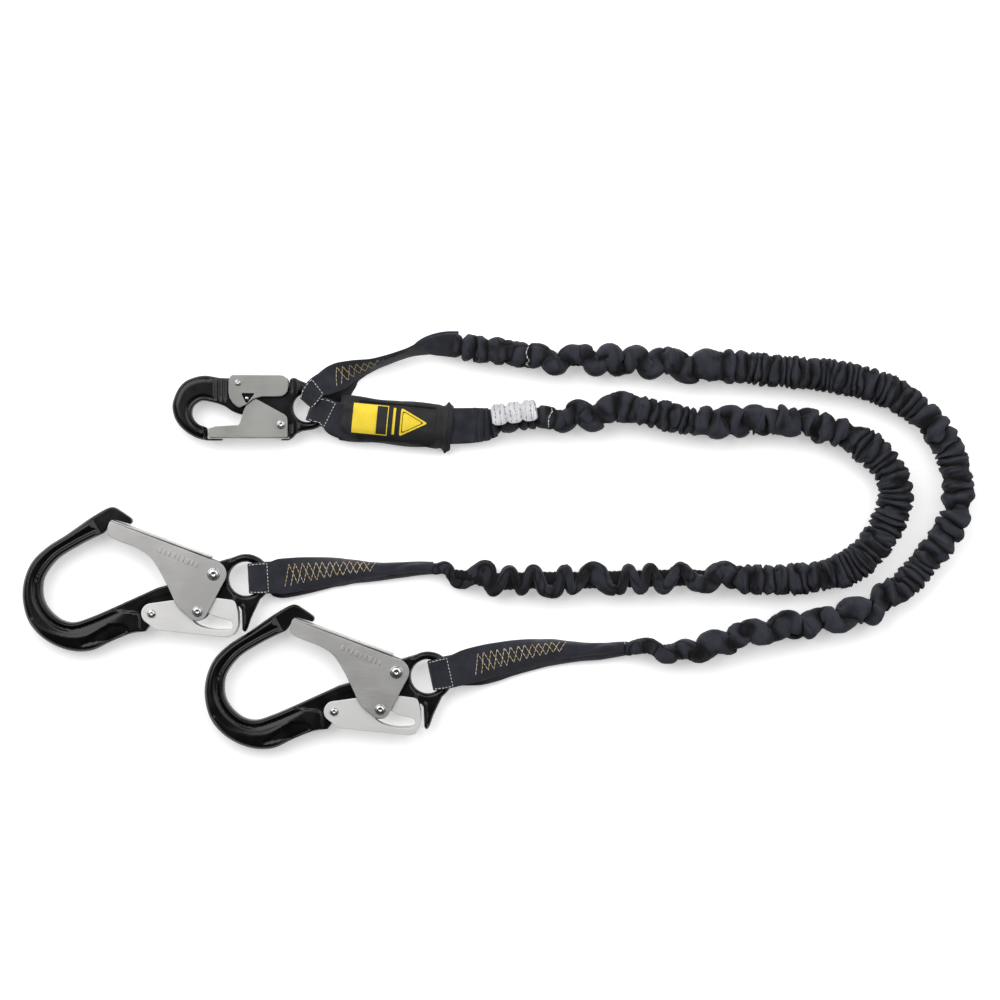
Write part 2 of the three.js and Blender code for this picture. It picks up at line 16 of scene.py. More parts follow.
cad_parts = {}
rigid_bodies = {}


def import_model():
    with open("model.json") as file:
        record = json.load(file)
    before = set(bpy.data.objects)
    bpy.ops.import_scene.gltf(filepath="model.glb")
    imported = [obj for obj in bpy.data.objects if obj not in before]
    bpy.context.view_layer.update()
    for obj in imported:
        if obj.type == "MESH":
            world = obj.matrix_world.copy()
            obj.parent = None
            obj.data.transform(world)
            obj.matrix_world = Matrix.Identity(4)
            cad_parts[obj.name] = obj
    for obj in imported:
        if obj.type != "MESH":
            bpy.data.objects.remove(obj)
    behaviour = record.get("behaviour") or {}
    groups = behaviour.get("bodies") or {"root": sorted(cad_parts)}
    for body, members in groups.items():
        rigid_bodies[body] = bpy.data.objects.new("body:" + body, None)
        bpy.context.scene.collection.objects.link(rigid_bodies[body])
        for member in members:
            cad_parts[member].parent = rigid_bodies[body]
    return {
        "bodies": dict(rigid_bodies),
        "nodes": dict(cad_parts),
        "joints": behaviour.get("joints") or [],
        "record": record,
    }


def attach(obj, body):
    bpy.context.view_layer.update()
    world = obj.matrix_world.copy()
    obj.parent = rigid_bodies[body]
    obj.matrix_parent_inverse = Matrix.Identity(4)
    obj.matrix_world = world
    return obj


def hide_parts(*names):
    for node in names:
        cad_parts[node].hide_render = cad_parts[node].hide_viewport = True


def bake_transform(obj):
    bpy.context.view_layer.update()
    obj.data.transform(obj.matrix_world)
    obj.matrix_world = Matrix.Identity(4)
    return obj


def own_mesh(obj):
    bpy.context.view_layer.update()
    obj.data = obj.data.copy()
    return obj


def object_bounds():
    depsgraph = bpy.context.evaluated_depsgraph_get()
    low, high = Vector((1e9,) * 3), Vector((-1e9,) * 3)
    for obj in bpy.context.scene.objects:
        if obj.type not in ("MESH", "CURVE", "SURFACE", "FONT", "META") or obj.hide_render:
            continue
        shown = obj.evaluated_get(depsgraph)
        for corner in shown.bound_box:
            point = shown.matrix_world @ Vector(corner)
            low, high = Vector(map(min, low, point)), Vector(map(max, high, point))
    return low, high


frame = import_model()
cad_low, cad_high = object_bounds()

MM = 0.001
TAU = 2 * math.pi
HOOK_Z = 12.2
EYES = {"snap_hook": (-79.3, 13.6), "hook_a": (-134.9, -140.6), "hook_b": (29.0, -228.5)}


# ---------------------------------------------------------------- meshes
def in_scene(name, data):
    """A new object in the scene that holds the data."""
    made = bpy.data.objects.new(name, data)
    bpy.context.scene.collection.objects.link(made)
    return made


def put_mesh(name, points, faces, uv=None, smooth=True):
    """A mesh object from points in millimetres. uv holds one pair per face corner, in millimetres."""
    data = bpy.data.meshes.new(name)
    data.from_pydata((np.asarray(points, float) * MM).tolist(), [], faces)
    if uv is not None:
        data.uv_layers.new(name="cloth").data.foreach_set("uv", np.asarray(uv, np.float32).ravel())
    bm = bmesh.new()
    bm.from_mesh(data)
    bmesh.ops.recalc_face_normals(bm, faces=bm.faces)
    bm.to_mesh(data)
    bm.free()
    data.polygons.foreach_set("use_smooth", [smooth] * len(data.polygons))
    return in_scene(name, data)


def loft(name, rings, along, around):
    """A closed skin through rings[n, m, 3]. along[n] and around[m + 1] are cloth coordinates."""
    n, m = rings.shape[:2]
    index = np.arange(n * m).reshape(n, m)
    after = np.roll(index, -1, axis=1)
    quads = np.stack([index[:-1], after[:-1], after[1:], index[1:]], -1).reshape(-1, 4)
    u = np.stack([around[:-1], around[1:], around[1:], around[:-1]], -1)
    v = np.stack([along[:-1], along[:-1], along[1:], along[1:]], -1)
    uv = np.stack([np.broadcast_to(u, (n - 1, m, 4)), np.broadcast_to(v[:, None], (n - 1, m, 4))], -1)
    uv = uv.reshape(-1, 2).tolist()
    points = np.concatenate([rings.reshape(-1, 3), rings[0].mean(0)[None], rings[-1].mean(0)[None]])
    faces = quads.tolist()
    for ring, centre, v_end in ((index[0], n * m, along[0]), (index[-1], n * m + 1, along[-1])):
        for k in range(m):
            faces.append([int(ring[k]), int(ring[(k + 1) % m]), centre])
            uv += [[around[k], v_end], [around[k + 1], v_end], [around[k], v_end]]
    return put_mesh(name, points, faces, uv)


def add_value(piece, name, values):
    """One number for each point of a piece, which its material reads by name."""
    layer = piece.data.attributes.new(name, "FLOAT", "POINT")
    filled = np.zeros(len(piece.data.vertices), np.float32)
    filled[: len(values)] = values
    layer.data.foreach_set("value", filled)


def joined(name, pieces):
    """The pieces as one object with the first one's material slots."""
    bm = bmesh.new()
    for piece in pieces:
        bm.from_mesh(piece.data)
    data = pieces[0].data.copy()
    data.name = name
    bm.to_mesh(data)
    bm.free()
    for piece in pieces:
        bpy.data.objects.remove(piece)
    return in_scene(name, data)


def evaluated_mesh(piece):
    """A new mesh of a piece with its curve settings and modifiers applied."""
    graph = bpy.context.evaluated_depsgraph_get()
    graph.update()
    return bpy.data.meshes.new_from_object(piece.evaluated_get(graph))


def coat(piece, material):
    """Gives a piece one material, in place of any that it has."""
    piece.data.materials.clear()
    piece.data.materials.append(material)


def stand_in(piece, node, body, material):
    """A piece that is seen in place of a CAD node: it rides on a body and has a material and its slot."""
    coat(piece, material)
    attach(piece, body)
    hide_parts(node)


# ---------------------------------------------------------------- curves
def smooth_curve(points, step):
    """Centripetal Catmull-Rom through the rows of points, sampled about every step of the first three."""
    p = np.asarray(points, float)
    p = np.vstack([2 * p[0] - p[1], p, 2 * p[-1] - p[-2]])
    rows = []
    for a, b, c, d in zip(p[:-3], p[1:-2], p[2:-1], p[3:]):
        t0, t1, t2 = (max(np.linalg.norm((y - x)[:3]), 1e-6) ** 0.5 for x, y in ((a, b), (b, c), (c, d)))
        start = ((b - a) / t0 - (c - a) / (t0 + t1) + (c - b) / t1) * t1
        end = ((c - b) / t1 - (d - b) / (t1 + t2) + (d - c) / t2) * t1
        for t in np.linspace(0, 1, max(2, math.ceil(np.linalg.norm((c - b)[:3]) / step)), endpoint=False):
            rows.append(
                b * (2 * t**3 - 3 * t**2 + 1)
                + start * (t**3 - 2 * t**2 + t)
                + c * (3 * t**2 - 2 * t**3)
                + end * (t**3 - t**2)
            )
    rows.append(p[-2])
    return np.array(rows)


def lengths(points):
    """Distance along a polyline at each of its points."""
    return np.concatenate([[0], np.cumsum(np.linalg.norm(np.diff(points, axis=0), axis=1))])


def turned_by(angle, x, y):
    """A point or points (x, y) turned about the origin."""
    c, s = math.cos(angle), math.sin(angle)
    return x * c - y * s, x * s + y * c


def even(points, step):
    """The same polyline with points every step."""
    at = lengths(points[:, :3])
    wanted = np.linspace(0, at[-1], int(at[-1] / step) + 1)
    return np.stack([np.interp(wanted, at, points[:, k]) for k in range(points.shape[1])], -1)


def unit(v):
    """Each row of v at length 1."""
    return v / np.maximum(np.linalg.norm(v, axis=-1, keepdims=True), 1e-9)


def step_up(value, low, high):
    """Rises smoothly from 0 at low to 1 at high."""
    t = np.clip((value - low) / (high - low), 0, 1)
    return t * t * (3 - 2 * t)


def bell(value, middle, width):
    """1 at the middle, falling smoothly to 0 on both sides."""
    return np.exp(-(((value - middle) / width) ** 2))


def wander(rng, s, theta, length, waves=8, around=2):
    """A smooth wandering value, about -1 to 1, that closes on itself round theta."""
    total = np.zeros(np.broadcast(s, theta).shape)
    for _ in range(waves):
        turn = TAU / length * rng.uniform(0.4, 1.6)
        total += np.cos(turn * s + rng.integers(-around, around + 1) * theta + rng.uniform(0, TAU))
    return total / math.sqrt(waves)


# ---------------------------------------------------------------- materials
class Graph:
    """A new material and short names for its nodes."""

    def __init__(self, name):
        self.material = bpy.data.materials.new(name)
        self.material.use_nodes = True
        self.tree = self.material.node_tree
        self.shader = self.tree.nodes["Principled BSDF"]

    def put(self, socket, value):
        if isinstance(value, bpy.types.NodeSocket):
            self.tree.links.new(value, socket)
        else:
            socket.default_value = value

    def node(self, kind, inputs=(), **settings):
        made = self.tree.nodes.new("ShaderNode" + kind)
        for key, value in settings.items():
            setattr(made, key, value)
        for key, value in dict(inputs).items():
            self.put(made.inputs[key], value)
        return made

    def math(self, operation, a, b=0.0):
        return self.node("Math", {0: a, 1: b}, operation=operation).outputs[0]

    def times(self, a, b):
        return self.math("MULTIPLY", a, b)

    def plus(self, a, b):
        return self.math("ADD", a, b)

    def span(self, value, low, high, to_low=0.0, to_high=1.0):
        inputs = {"Value": value, "From Min": low, "From Max": high, "To Min": to_low, "To Max": to_high}
        return self.node("MapRange", inputs).outputs[0]

    def mix(self, factor, a, b):
        made = self.node("Mix", data_type="RGBA")
        for key, value in ((0, factor), (6, a), (7, b)):
            self.put(made.inputs[key], value)
        return made.outputs[2]

    def noise(self, scale, detail=4.0, vector=None):
        inputs = {"Scale": scale, "Detail": detail}
        inputs["Vector"] = vector or self.node("TexCoord").outputs["Object"]
        return self.node("TexNoise", inputs).outputs["Fac"]

    def cloth(self):
        """The cloth's own coordinates in millimetres: across and along."""
        both = self.node("SeparateXYZ", {0: self.node("UVMap", uv_map="cloth").outputs[0]})
        return both.outputs[0], both.outputs[1]

    def wave(self, coordinate, pitch, shift=0.0):
        phase = self.plus(self.times(coordinate, TAU / pitch), shift)
        return self.span(self.math("SINE", phase), -1, 1)

    def bump(self, height, distance, strength=1.0):
        inputs = {"Height": height, "Distance": distance, "Strength": strength}
        self.put(self.shader.inputs["Normal"], self.node("Bump", inputs).outputs[0])

    def finish(self, **inputs):
        for key, value in inputs.items():
            self.put(self.shader.inputs[key.replace("_", " ")], value)
        return self.material


def shade(red, green, blue):
    """A colour given as sRGB 0 to 255."""
    shares = (c / 255 for c in (red, green, blue))
    return (*(c / 12.92 if c <= 0.04045 else ((c + 0.055) / 1.055) ** 2.4 for c in shares), 1.0)


# BLACK is painted shade: the near black laid into the pleat valleys of the gathered webbing.
BLACK = (0.001, 0.001, 0.0015, 1)
GAP_BLACK = (0.004, 0.004, 0.006, 1)


def woven(name, dark, light, rib=1.1, yarn=0.8, sheen=0.25, creased=False):
    """Narrow-woven webbing: raised cross ribs broken up by the warp yarns. Creased webbing gets painted
    highlights on its pleat ridges and painted shade, near black, in its pleat valleys.
    """
    g = Graph(name)
    across, along = g.cloth()
    warp = g.wave(across, yarn)
    half_turns = g.times(g.math("FLOOR", g.math("DIVIDE", across, yarn)), math.pi)
    ribs = g.wave(along, rib, half_turns)
    weave = g.times(warp, ribs)
    patchy = g.span(g.noise(90.0), 0.3, 0.7)
    if creased:
        # Painted light and shade: the ridge value lightens the pleat ridges and paints the pleat valleys near
        # black; patchy adds random tone.
        high = g.node("Attribute", attribute_name="ridge").outputs["Fac"]
        ridge_light_and_patches = g.plus(g.times(g.span(high, 0.5, 1.0), 0.7), g.times(patchy, 0.3))
        colour = g.mix(g.span(high, 0.16, 0.66, 1, 0), g.mix(ridge_light_and_patches, dark, light), BLACK)
    else:
        colour = g.mix(g.times(patchy, 0.55), dark, light)
    colour = g.mix(g.span(weave, 0, 1, 0.35, 0), colour, GAP_BLACK)
    fuzz = g.noise(2200.0, 2.0)
    g.bump(g.plus(weave, g.times(fuzz, 0.5)), 0.00028, 0.75)
    return g.finish(
        Base_Color=colour,
        Roughness=g.span(patchy, 0, 1, 0.8, 0.95),
        Sheen_Weight=sheen,
        Sheen_Roughness=0.45,
        Specular_IOR_Level=0.25,
    )


def thread(name, colour, dull):
    """Sewing thread: twisted strands and a little colour change from stitch to stitch."""
    g = Graph(name)
    which = g.span(g.noise(160.0, 1.0), 0.4, 0.6)
    g.bump(g.noise(4200.0, 2.0), 0.0001, 0.6)
    return g.finish(Base_Color=g.mix(which, colour, dull), Roughness=0.6, Sheen_Weight=0.2)


def black_alloy():
    """Black anodised forging: glossy, faintly pebbled, with lighter rubbed patches."""
    g = Graph("black_anodised_alloy")
    broad = g.noise(45.0, 3.0)
    grain = g.noise(1500.0, 3.0)
    rubbed = g.span(broad, 0.5, 0.75)
    g.bump(g.plus(g.times(grain, 0.4), broad), 0.00025, 0.35)
    return g.finish(
        Base_Color=g.mix(rubbed, shade(9, 9, 10), shade(20, 20, 21)),
        Roughness=g.span(broad, 0.3, 0.7, 0.2, 0.32),
        Specular_IOR_Level=0.32,
    )


def satin_plate(name, dark, light, metal=1.0):
    """Stamped steel plate, tumbled satin: short rolling lines, fine grain and a slow change of tone."""
    g = Graph(name)
    place = g.node("TexCoord").outputs["Object"]
    drawn = g.node("Mapping", {"Vector": place, "Rotation": (0, 0, 0.35), "Scale": (60.0, 1400.0, 1400.0)})
    lines = g.noise(1.0, 3.0, drawn.outputs[0])
    slow = g.noise(22.0, 2.0)
    grain = g.noise(1800.0, 2.0)
    g.bump(g.plus(lines, grain), 0.00005, 0.35)
    tone = g.plus(g.times(slow, 0.8), g.times(lines, 0.2))
    return g.finish(
        Base_Color=g.mix(g.span(tone, 0.35, 0.65), dark, light),
        Metallic=metal,
        Roughness=g.span(g.plus(lines, grain), 0.6, 1.4, 0.4, 0.56),
    )


def bright_steel():
    """Zinc plated rivets, pins and springs."""
    g = Graph("plated_steel")
    spots = g.noise(700.0, 3.0)
    g.bump(spots, 0.00005, 0.5)
    return g.finish(
        Base_Color=g.mix(spots, shade(175, 176, 180), shade(205, 205, 206)),
        Metallic=1.0,
        Roughness=g.span(spots, 0.3, 0.7, 0.2, 0.34),
    )


webbing = woven("webbing", shade(36, 37, 44), shade(68, 70, 82))
gathered_webbing = woven("gathered_webbing", shade(24, 25, 30), shade(66, 68, 78), sheen=0.08, creased=True)
pad_webbing = woven("pad_webbing", shade(40, 41, 49), shade(84, 86, 96), rib=1.6, yarn=1.1)
# The elastic's near black is painted shade: it stands for the shadowed fold seen between the swaying web of
# the bare stretch.
elastic = woven("elastic", shade(9, 9, 11), shade(22, 22, 26), rib=1.5, yarn=1.2, sheen=0.05)
gold_thread = thread("gold_thread", shade(206, 180, 118), shade(222, 212, 190))
white_thread = thread("white_thread", shade(228, 228, 224), shade(190, 190, 188))
alloy = black_alloy()
gate_plate = satin_plate("satin_gate_plate", shade(182, 181, 179), shade(201, 200, 198))
lever_plate = satin_plate("satin_lever_plate", shade(222, 221, 219), shade(232, 232, 231), 0.55)
snap_plate = satin_plate("satin_snap_plate", shade(138, 138, 135), shade(163, 163, 160))
steel = bright_steel()


# ---------------------------------------------------------------- sewing
# A stitch's rings, end to end: place along it, height over the cloth in millimetres, share of its radius.
STITCH = np.array([(0, -0.25, 0.3), (0.14, 0.12, 0.85), (0.5, 0.3, 1), (0.86, 0.12, 0.85), (1, -0.25, 0.3)])
STRANDS = 6


def sew(name, place, lines, material, stitch=3.2, gap=0.9, radius=0.4):
    """Separate stitches, one mesh, along lines of (along, across) points on a cloth's outer face."""
    points, faces = [], []
    for line in lines:
        line = np.array(line, float)
        at = lengths(line)
        for start in np.arange(0, at[-1] - stitch * 0.6, stitch + gap):
            t = start + STITCH[:, 0] * min(stitch, at[-1] - start)
            spot = [np.interp(t, at, line[:, k]) for k in (0, 1)]
            core = place(*spot, STITCH[:, 1] + radius * 0.4)
            up = unit(place(*spot, 1.0) - place(*spot, 0.0))
            side = unit(np.cross(unit(np.gradient(core, axis=0)), up))
            base = len(points)
            for k, thick in enumerate(radius * STITCH[:, 2]):
                for a in np.linspace(0, TAU, STRANDS, endpoint=False):
                    points.append(core[k] + thick * (math.cos(a) * side[k] + math.sin(a) * up[k]))
            last = base + STRANDS * (len(STITCH) - 1)
            for first in range(base, last, STRANDS):
                for j in range(STRANDS):
                    a, b = first + j, first + (j + 1) % STRANDS
                    faces.append((a, b, b + STRANDS, a + STRANDS))
            faces += [tuple(range(end, end + STRANDS)) for end in (base, last)]
    piece = put_mesh(name, points, faces)
    piece.data.materials.append(material)
    return piece


# ---------------------------------------------------------------- camera, floor and light
def make_camera():
    """Straight above the laid-out lanyard, as high as the frame needs with a short telephoto lens."""
    data = bpy.data.cameras.new("camera")
    data.sensor_width = 36.0
    data.lens = 83.4
    camera = in_scene("camera", data)
    middle = (cad_low + cad_high) / 2
    camera.location = (middle.x + 0.002, middle.y + 0.0356, 2.1)
    bpy.context.scene.camera = camera


def make_floor():
    """A pale floor that glows a little, so that shadows on it stay light."""
    size = 6000.0
    corners = [(-size, -size, 0), (size, -size, 0), (size, size, 0), (-size, size, 0)]
    floor = put_mesh("studio_floor", corners, [(0, 1, 2, 3)], smooth=False)
    g = Graph("studio_floor")
    tone = g.mix(g.noise(3.0), (0.9, 0.9, 0.9, 1), (0.92, 0.92, 0.92, 1))
    glowing = g.finish(Base_Color=tone, Roughness=0.8, Specular_IOR_Level=0.1,
                       Emission_Color=(1, 1, 1, 1), Emission_Strength=0.42)
    coat(floor, glowing)


def make_light():
    """A white tent: bright round the sides, dimmer overhead, with a large soft lamp from either side."""
    world = bpy.data.worlds.new("studio")
    bpy.context.scene.world = world
    world.use_nodes = True
    tree = world.node_tree
    background = tree.nodes["Background"]
    place = tree.nodes.new("ShaderNodeTexCoord")
    height = tree.nodes.new("ShaderNodeSeparateXYZ")
    ramp = tree.nodes.new("ShaderNodeMapRange")
    for key, value in {"From Min": 0.15, "From Max": 0.95, "To Min": 1.45, "To Max": 0.75}.items():
        ramp.inputs[key].default_value = value
    tree.links.new(place.outputs["Generated"], height.inputs[0])
    tree.links.new(height.outputs[2], ramp.inputs["Value"])
    tree.links.new(ramp.outputs[0], background.inputs["Strength"])
    for name, at, size, power in (
        ("key_lamp", (-1.3, 1.2, 1.9), 2.6, 71.0),
        ("fill_lamp", (1.35, 0.8, 1.6), 2.4, 40.0),
    ):
        data = bpy.data.lights.new(name, "AREA")
        data.size = size
        data.energy = power
        lamp = in_scene(name, data)
        lamp.location = at
        lamp.rotation_euler = (-Vector(at)).to_track_quat("-Z", "Y").to_euler()
    bpy.context.scene.view_settings.view_transform = "Standard"


make_camera()
make_floor()
make_light()

# ---------------------------------------------------------------- the two gathered legs
LEG_A_ROUTE = [
    (0.053, 0.0699), (0.069, 0.0668), (0.094, 0.0643), (0.119, 0.0598), (0.149, 0.0568), (0.184, 0.0558),
    (0.224, 0.0533), (0.264, 0.0503), (0.304, 0.0503), (0.344, 0.0463), (0.384, 0.0428), (0.419, 0.0363),
    (0.449, 0.0253), (0.474, 0.0073), (0.492, -0.0137), (0.503, -0.0397), (0.506, -0.0637),
    (0.503, -0.0857), (0.493, -0.1037), (0.480, -0.1207), (0.462, -0.1417), (0.441, -0.1597),
    (0.412, -0.1717), (0.379, -0.1797), (0.344, -0.1852), (0.309, -0.1917), (0.279, -0.2027),
    (0.254, -0.2062), (0.229, -0.2037), (0.207, -0.2037),
]
LEG_B_ROUTE = [
    (0.087, -0.0007), (0.106, 0.0023), (0.129, 0.0048), (0.154, 0.0053), (0.184, 0.0088), (0.214, 0.0118),
    (0.242, 0.0058), (0.274, 0.0003), (0.309, 0.0008), (0.344, 0.0018), (0.374, -0.0017), (0.399, -0.0087),
    (0.421, -0.0197), (0.438, -0.0347), (0.448, -0.0517), (0.450, -0.0677), (0.445, -0.0857),
    (0.435, -0.1037), (0.421, -0.1207), (0.403, -0.1327), (0.379, -0.1387), (0.349, -0.1412),
    (0.314, -0.1407), (0.279, -0.1387), (0.244, -0.1397), (0.204, -0.1407), (0.164, -0.1417),
    (0.124, -0.1417), (0.094, -0.1427), (0.064, -0.1387), (0.034, -0.1317),
]
# How the web is gathered, at places along each leg, in millimetres:
# (along, half width, half height, pleat pitch, pleat depth, slant)
LEG_A_GATHER = [
    (0, 10.5, 11, 13, 3, 0.2), (12, 12.5, 12.5, 14, 4.5, 0.2), (38, 13, 13, 12, 4, 0.4),
    (50, 12, 12.5, 18, 1.6, 0.3), (72, 11.2, 12, 20, 1.4, 0.3), (84, 10.2, 12.5, 17, 2.8, 0.7),
    (165, 10.4, 12.5, 17, 3.4, 0.8), (205, 13, 13.5, 17, 3.6, 0.5), (238, 15.6, 14, 19, 3.8, 0.2),
    (262, 15.4, 14, 9, 3.2, 0.3), (275, 15, 14, 6.8, 3.6, 0.5), (392, 16, 14.2, 6.6, 3.6, 1.2),
    (410, 15, 14.2, 9, 3.6, 1.4), (430, 14.5, 14.2, 13, 4.6, 1), (480, 14.5, 14.2, 11, 4.4, 1.2),
    (505, 14.5, 14.2, 10, 4, 0.8), (520, 14.5, 14.2, 16, 5.2, 0.9), (560, 15, 14.2, 13, 4.6, 1),
    (572, 14, 14, 8, 3.4, 1), (600, 13.5, 13.8, 6.5, 3, 0.9), (622, 13.5, 13.8, 9, 3.4, 1),
    (632, 12, 13.8, 20, 4.5, 1.2), (790, 11.8, 13.6, 24, 4.2, 1.3), (815, 10, 12, 20, 2.6, 0.8),
    (835, 8.5, 10.5, 26, 1.4, 0.5), (871, 6.5, 7.5, 26, 0.8, 0.2),
]
LEG_B_GATHER = [
    (0, 11.5, 12, 13, 2.2, 0.2), (14, 10.5, 12, 11, 3, 0.5), (44, 11, 12, 11, 2.6, 0.5),
    (50, 11, 12.5, 20, 1.4, 0.2), (66, 10.4, 12.5, 18, 2.6, 0.6), (100, 12, 13.5, 19, 3, 0.5),
    (118, 14.6, 14, 20, 3, 0.3), (130, 14, 14, 11, 4.6, 0.5), (150, 14, 14, 9.5, 4, 0.8),
    (182, 13.5, 14, 8, 3.4, 1), (192, 13.5, 14, 15, 5, 0.8), (282, 13.5, 14, 16.5, 5.2, 1.1),
    (322, 14.5, 14.2, 15, 5, 1.3), (336, 15.5, 14.2, 8.5, 3.8, 1.6), (420, 16.5, 14.2, 8, 4, 1.4),
    (470, 16.5, 14.2, 7, 3.8, 1.5), (496, 15.5, 14.2, 9, 4, 0.7), (512, 14.8, 14, 10.5, 4, 0.4),
    (574, 14, 14, 11.5, 4.2, 0.3), (586, 11, 13.8, 24, 2.6, 0.6), (622, 7.5, 13, 26, 1.6, 0.5),
    (636, 6.4, 12.6, 24, 1.2, 0.4), (652, 5.4, 12.6, 30, 0.7, 0.2), (680, 5, 12.4, 30, 0.6, 0.2),
    (688, 6, 12.4, 26, 1.2, 0.3), (704, 9.5, 12, 26, 1.6, 0.3), (716, 6.5, 12.2, 26, 1.2, 0.3),
    (728, 5.2, 12.2, 30, 0.6, 0.2), (740, 6.4, 12.2, 30, 0.9, 0.2), (750, 6.6, 12.2, 30, 0.9, 0.2),
    (762, 5.2, 12, 30, 0.6, 0.2), (796, 5.2, 11.6, 30, 0.5, 0.2), (806, 9, 9.4, 30, 0.9, 0.3),
    (816, 8.4, 8.6, 30, 1, 0.3), (830, 5.4, 7.5, 30, 0.5, 0.2), (852, 5, 6.5, 30, 0.4, 0.1),
]
# Where the un-pleated stretches sway from side to side: (along, sideways), left of the run is positive.
LEG_A_SWAY = [
    (64, 0), (80, 2.5), (91, -5.5), (108, 5.5), (118, 5.0), (128, -4.0), (141, 6.0), (149, -5.5),
    (165, 6.5), (177, -5.0), (186, 4.5), (198, 4.5), (212, -3.0), (228, 1.5), (244, 0), (615, 0),
    (628, -4.5), (646, 4.5), (662, -3.5), (676, 3.0), (694, -4.0), (712, 4.5), (724, -4.0), (742, 4.0),
    (760, -3.5), (776, 4.5), (790, -3.5), (808, 3.0), (818, -2.0), (836, 3.5), (852, -2.5), (871, 0),
]
LEG_B_SWAY = [
    (48, 0), (64, -4.0), (78, 4.5), (90, -5.0), (112, 4.0), (128, 0), (188, 0), (196, 1.5), (206, -2),
    (216, 2), (226, -2), (236, 2), (246, -2), (256, 1.5), (268, -2), (282, 2.5), (300, -1), (318, 0),
    (580, 0), (592, -6.5), (606, 7), (616, 5.5), (628, -9.0), (646, 9.5), (656, -9.5), (666, 10.0),
    (676, -9.5), (684, 9.5), (691, 9.5), (710, -9.0), (727, 9.0), (733, -9.5), (743, 10.5), (751, 9.5),
    (762, -9.5), (773, 9.5), (783, -9.5), (797, 9.5), (806, -9.0), (830, 8.0), (843, -4.0), (852, 0),
]
AROUND = 48
BOXY = 0.66


def sway(table, s):
    """Sideways offset at s: eased from one turning point of the table to the next."""
    at = np.array([row[0] for row in table], float)
    value = np.array([row[1] for row in table], float)
    k = np.clip(np.searchsorted(at, s) - 1, 0, len(at) - 2)
    t = np.clip((s - at[k]) / (at[k + 1] - at[k]), 0, 1)
    return value[k] + (value[k + 1] - value[k]) * (t * t * (3 - 2 * t))


def leg_line(route, sways):
    """Distances along a leg, and the line, heading and sideways direction of its swaying web."""
    centre = even(smooth_curve([(x / MM, y / MM, 0) for x, y in route], 2.0), 0.75)
    s = lengths(centre)
    run = unit(np.gradient(centre, axis=0))
    side = np.stack([-run[:, 1], run[:, 0], 0 * s], -1)
    middle = centre + side * sway(sways, s)[:, None]
    heading = unit(np.gradient(middle, axis=0))
    across = unit(np.stack([-heading[:, 1], heading[:, 0], 0 * s], -1) * 0.9 + side * 0.1)
    return s[:, None], middle, heading, across


def level(rng, s, length):
    """A value that wanders along the web and is the same all round it."""
    return wander(rng, s, 0 * s, length, around=0)


def pleats(rng, s, theta, pitch, depth, slant):
    """The web's relief: its folds inwards, its ripples, how far out each pleat stands, how lit it is."""

    def drift(length, **more):
        return wander(rng, s, theta, length, **more)

    turn = TAU * np.cumsum(0.75 * (1 + 0.32 * level(rng, s, 34)) / pitch, axis=0)
    lean = slant * level(rng, s, 75) * 1.3
    crumple = np.clip((depth - 2) / 2, 0, 1) * np.clip((14 - pitch) / 5, 0.25, 1)
    phase = turn + lean * np.cos(theta) + 0.9 * drift(36)
    phase += (0.5 + 0.8 * crumple) * drift(20, around=4)
    high = np.abs(np.cos(phase / 2)) ** 0.6
    uneven = np.clip(1 + 0.5 * drift(22, around=3), 0.25, 1.8)
    folds = np.abs(np.cos(0.93 * turn + 2.4 * drift(17, around=4))) ** 0.7
    inward = 1.3 * depth * uneven * (1 - high) + 0.38 * depth * crumple * (1 - folds)
    ripples = 0.3 * drift(7, waves=12, around=6)
    crease = bell(drift(30, waves=10, around=3), 0, 0.2) * np.clip(1.3 - depth / 4.5, 0.15, 1)
    fine = np.abs(np.cos(math.pi * s / 4.3 + 2.5 * drift(40)))
    fine *= np.clip(drift(24), 0, 1)
    lit = high * np.clip(0.45 + depth * 0.18, 0, 1) + 0.35 * (1 - np.clip(depth / 3, 0, 1))
    lit = lit - 0.5 * crease - 0.25 * fine - 0.35 * crumple * (1 - folds)
    return inward, ripples + 1.25 * crease + 0.6 * fine, high, lit


def gathered_web(name, route, gather, sways, seed):
    """The tubular web, pleated where it is pushed together and swaying where it is slack."""
    rng = np.random.default_rng(seed)
    s, middle, heading, across = leg_line(route, sways)
    columns = np.array(gather, float).T
    half, tall, pitch, depth, slant = (np.interp(s, columns[0], column) for column in columns[1:])
    theta = np.linspace(0, TAU, AROUND, endpoint=False)[None, :]
    inward, ripples, high, lit = pleats(rng, s, theta, pitch, depth, slant)
    bulge = 1 + 0.045 * level(rng, s, 30)
    c, d = np.cos(theta), np.sin(theta)
    wide = (half * bulge - inward - ripples * 0.6) * np.sign(c) * np.abs(c) ** BOXY
    up = (tall * bulge - inward * 0.8 - ripples) * np.sign(d) * np.abs(d) ** BOXY
    over = 0.3 * pitch * level(rng, s, 60) * (high - 0.6) * np.clip(depth / 3.5, 0, 1)
    rings = middle[:, None] + across[:, None] * wide[..., None] + heading[:, None] * over[..., None]
    rings[..., 2] = np.maximum(up + tall + 0.9, 0.45)
    web = loft(name, rings, s[:, 0] * 1.5, np.linspace(0, 72, AROUND + 1))
    # The ridge value is painted light and shade for the pleats: high on lit ridges, low in shaded valleys and
    # creases.
    add_value(web, "ridge", lit.ravel())

    def place(along, across, lift=0.0):
        """Points on the web: along it, and across its upper side from the middle, in millimetres."""
        along, across, lift = np.broadcast_arrays(along, across, lift)
        row = np.clip((along / s[1, 0]).astype(int), 0, len(rings) - 1)
        spoke = ((math.pi / 2 - across / 12.5) / TAU * AROUND) % AROUND
        first = spoke.astype(int)
        part = (spoke - first)[..., None]
        spot = rings[row, first] * (1 - part) + rings[row, (first + 1) % AROUND] * part
        return spot + unit(spot - rings[row].mean(axis=-2)) * (lift + 0.15)[..., None]

    return web, place


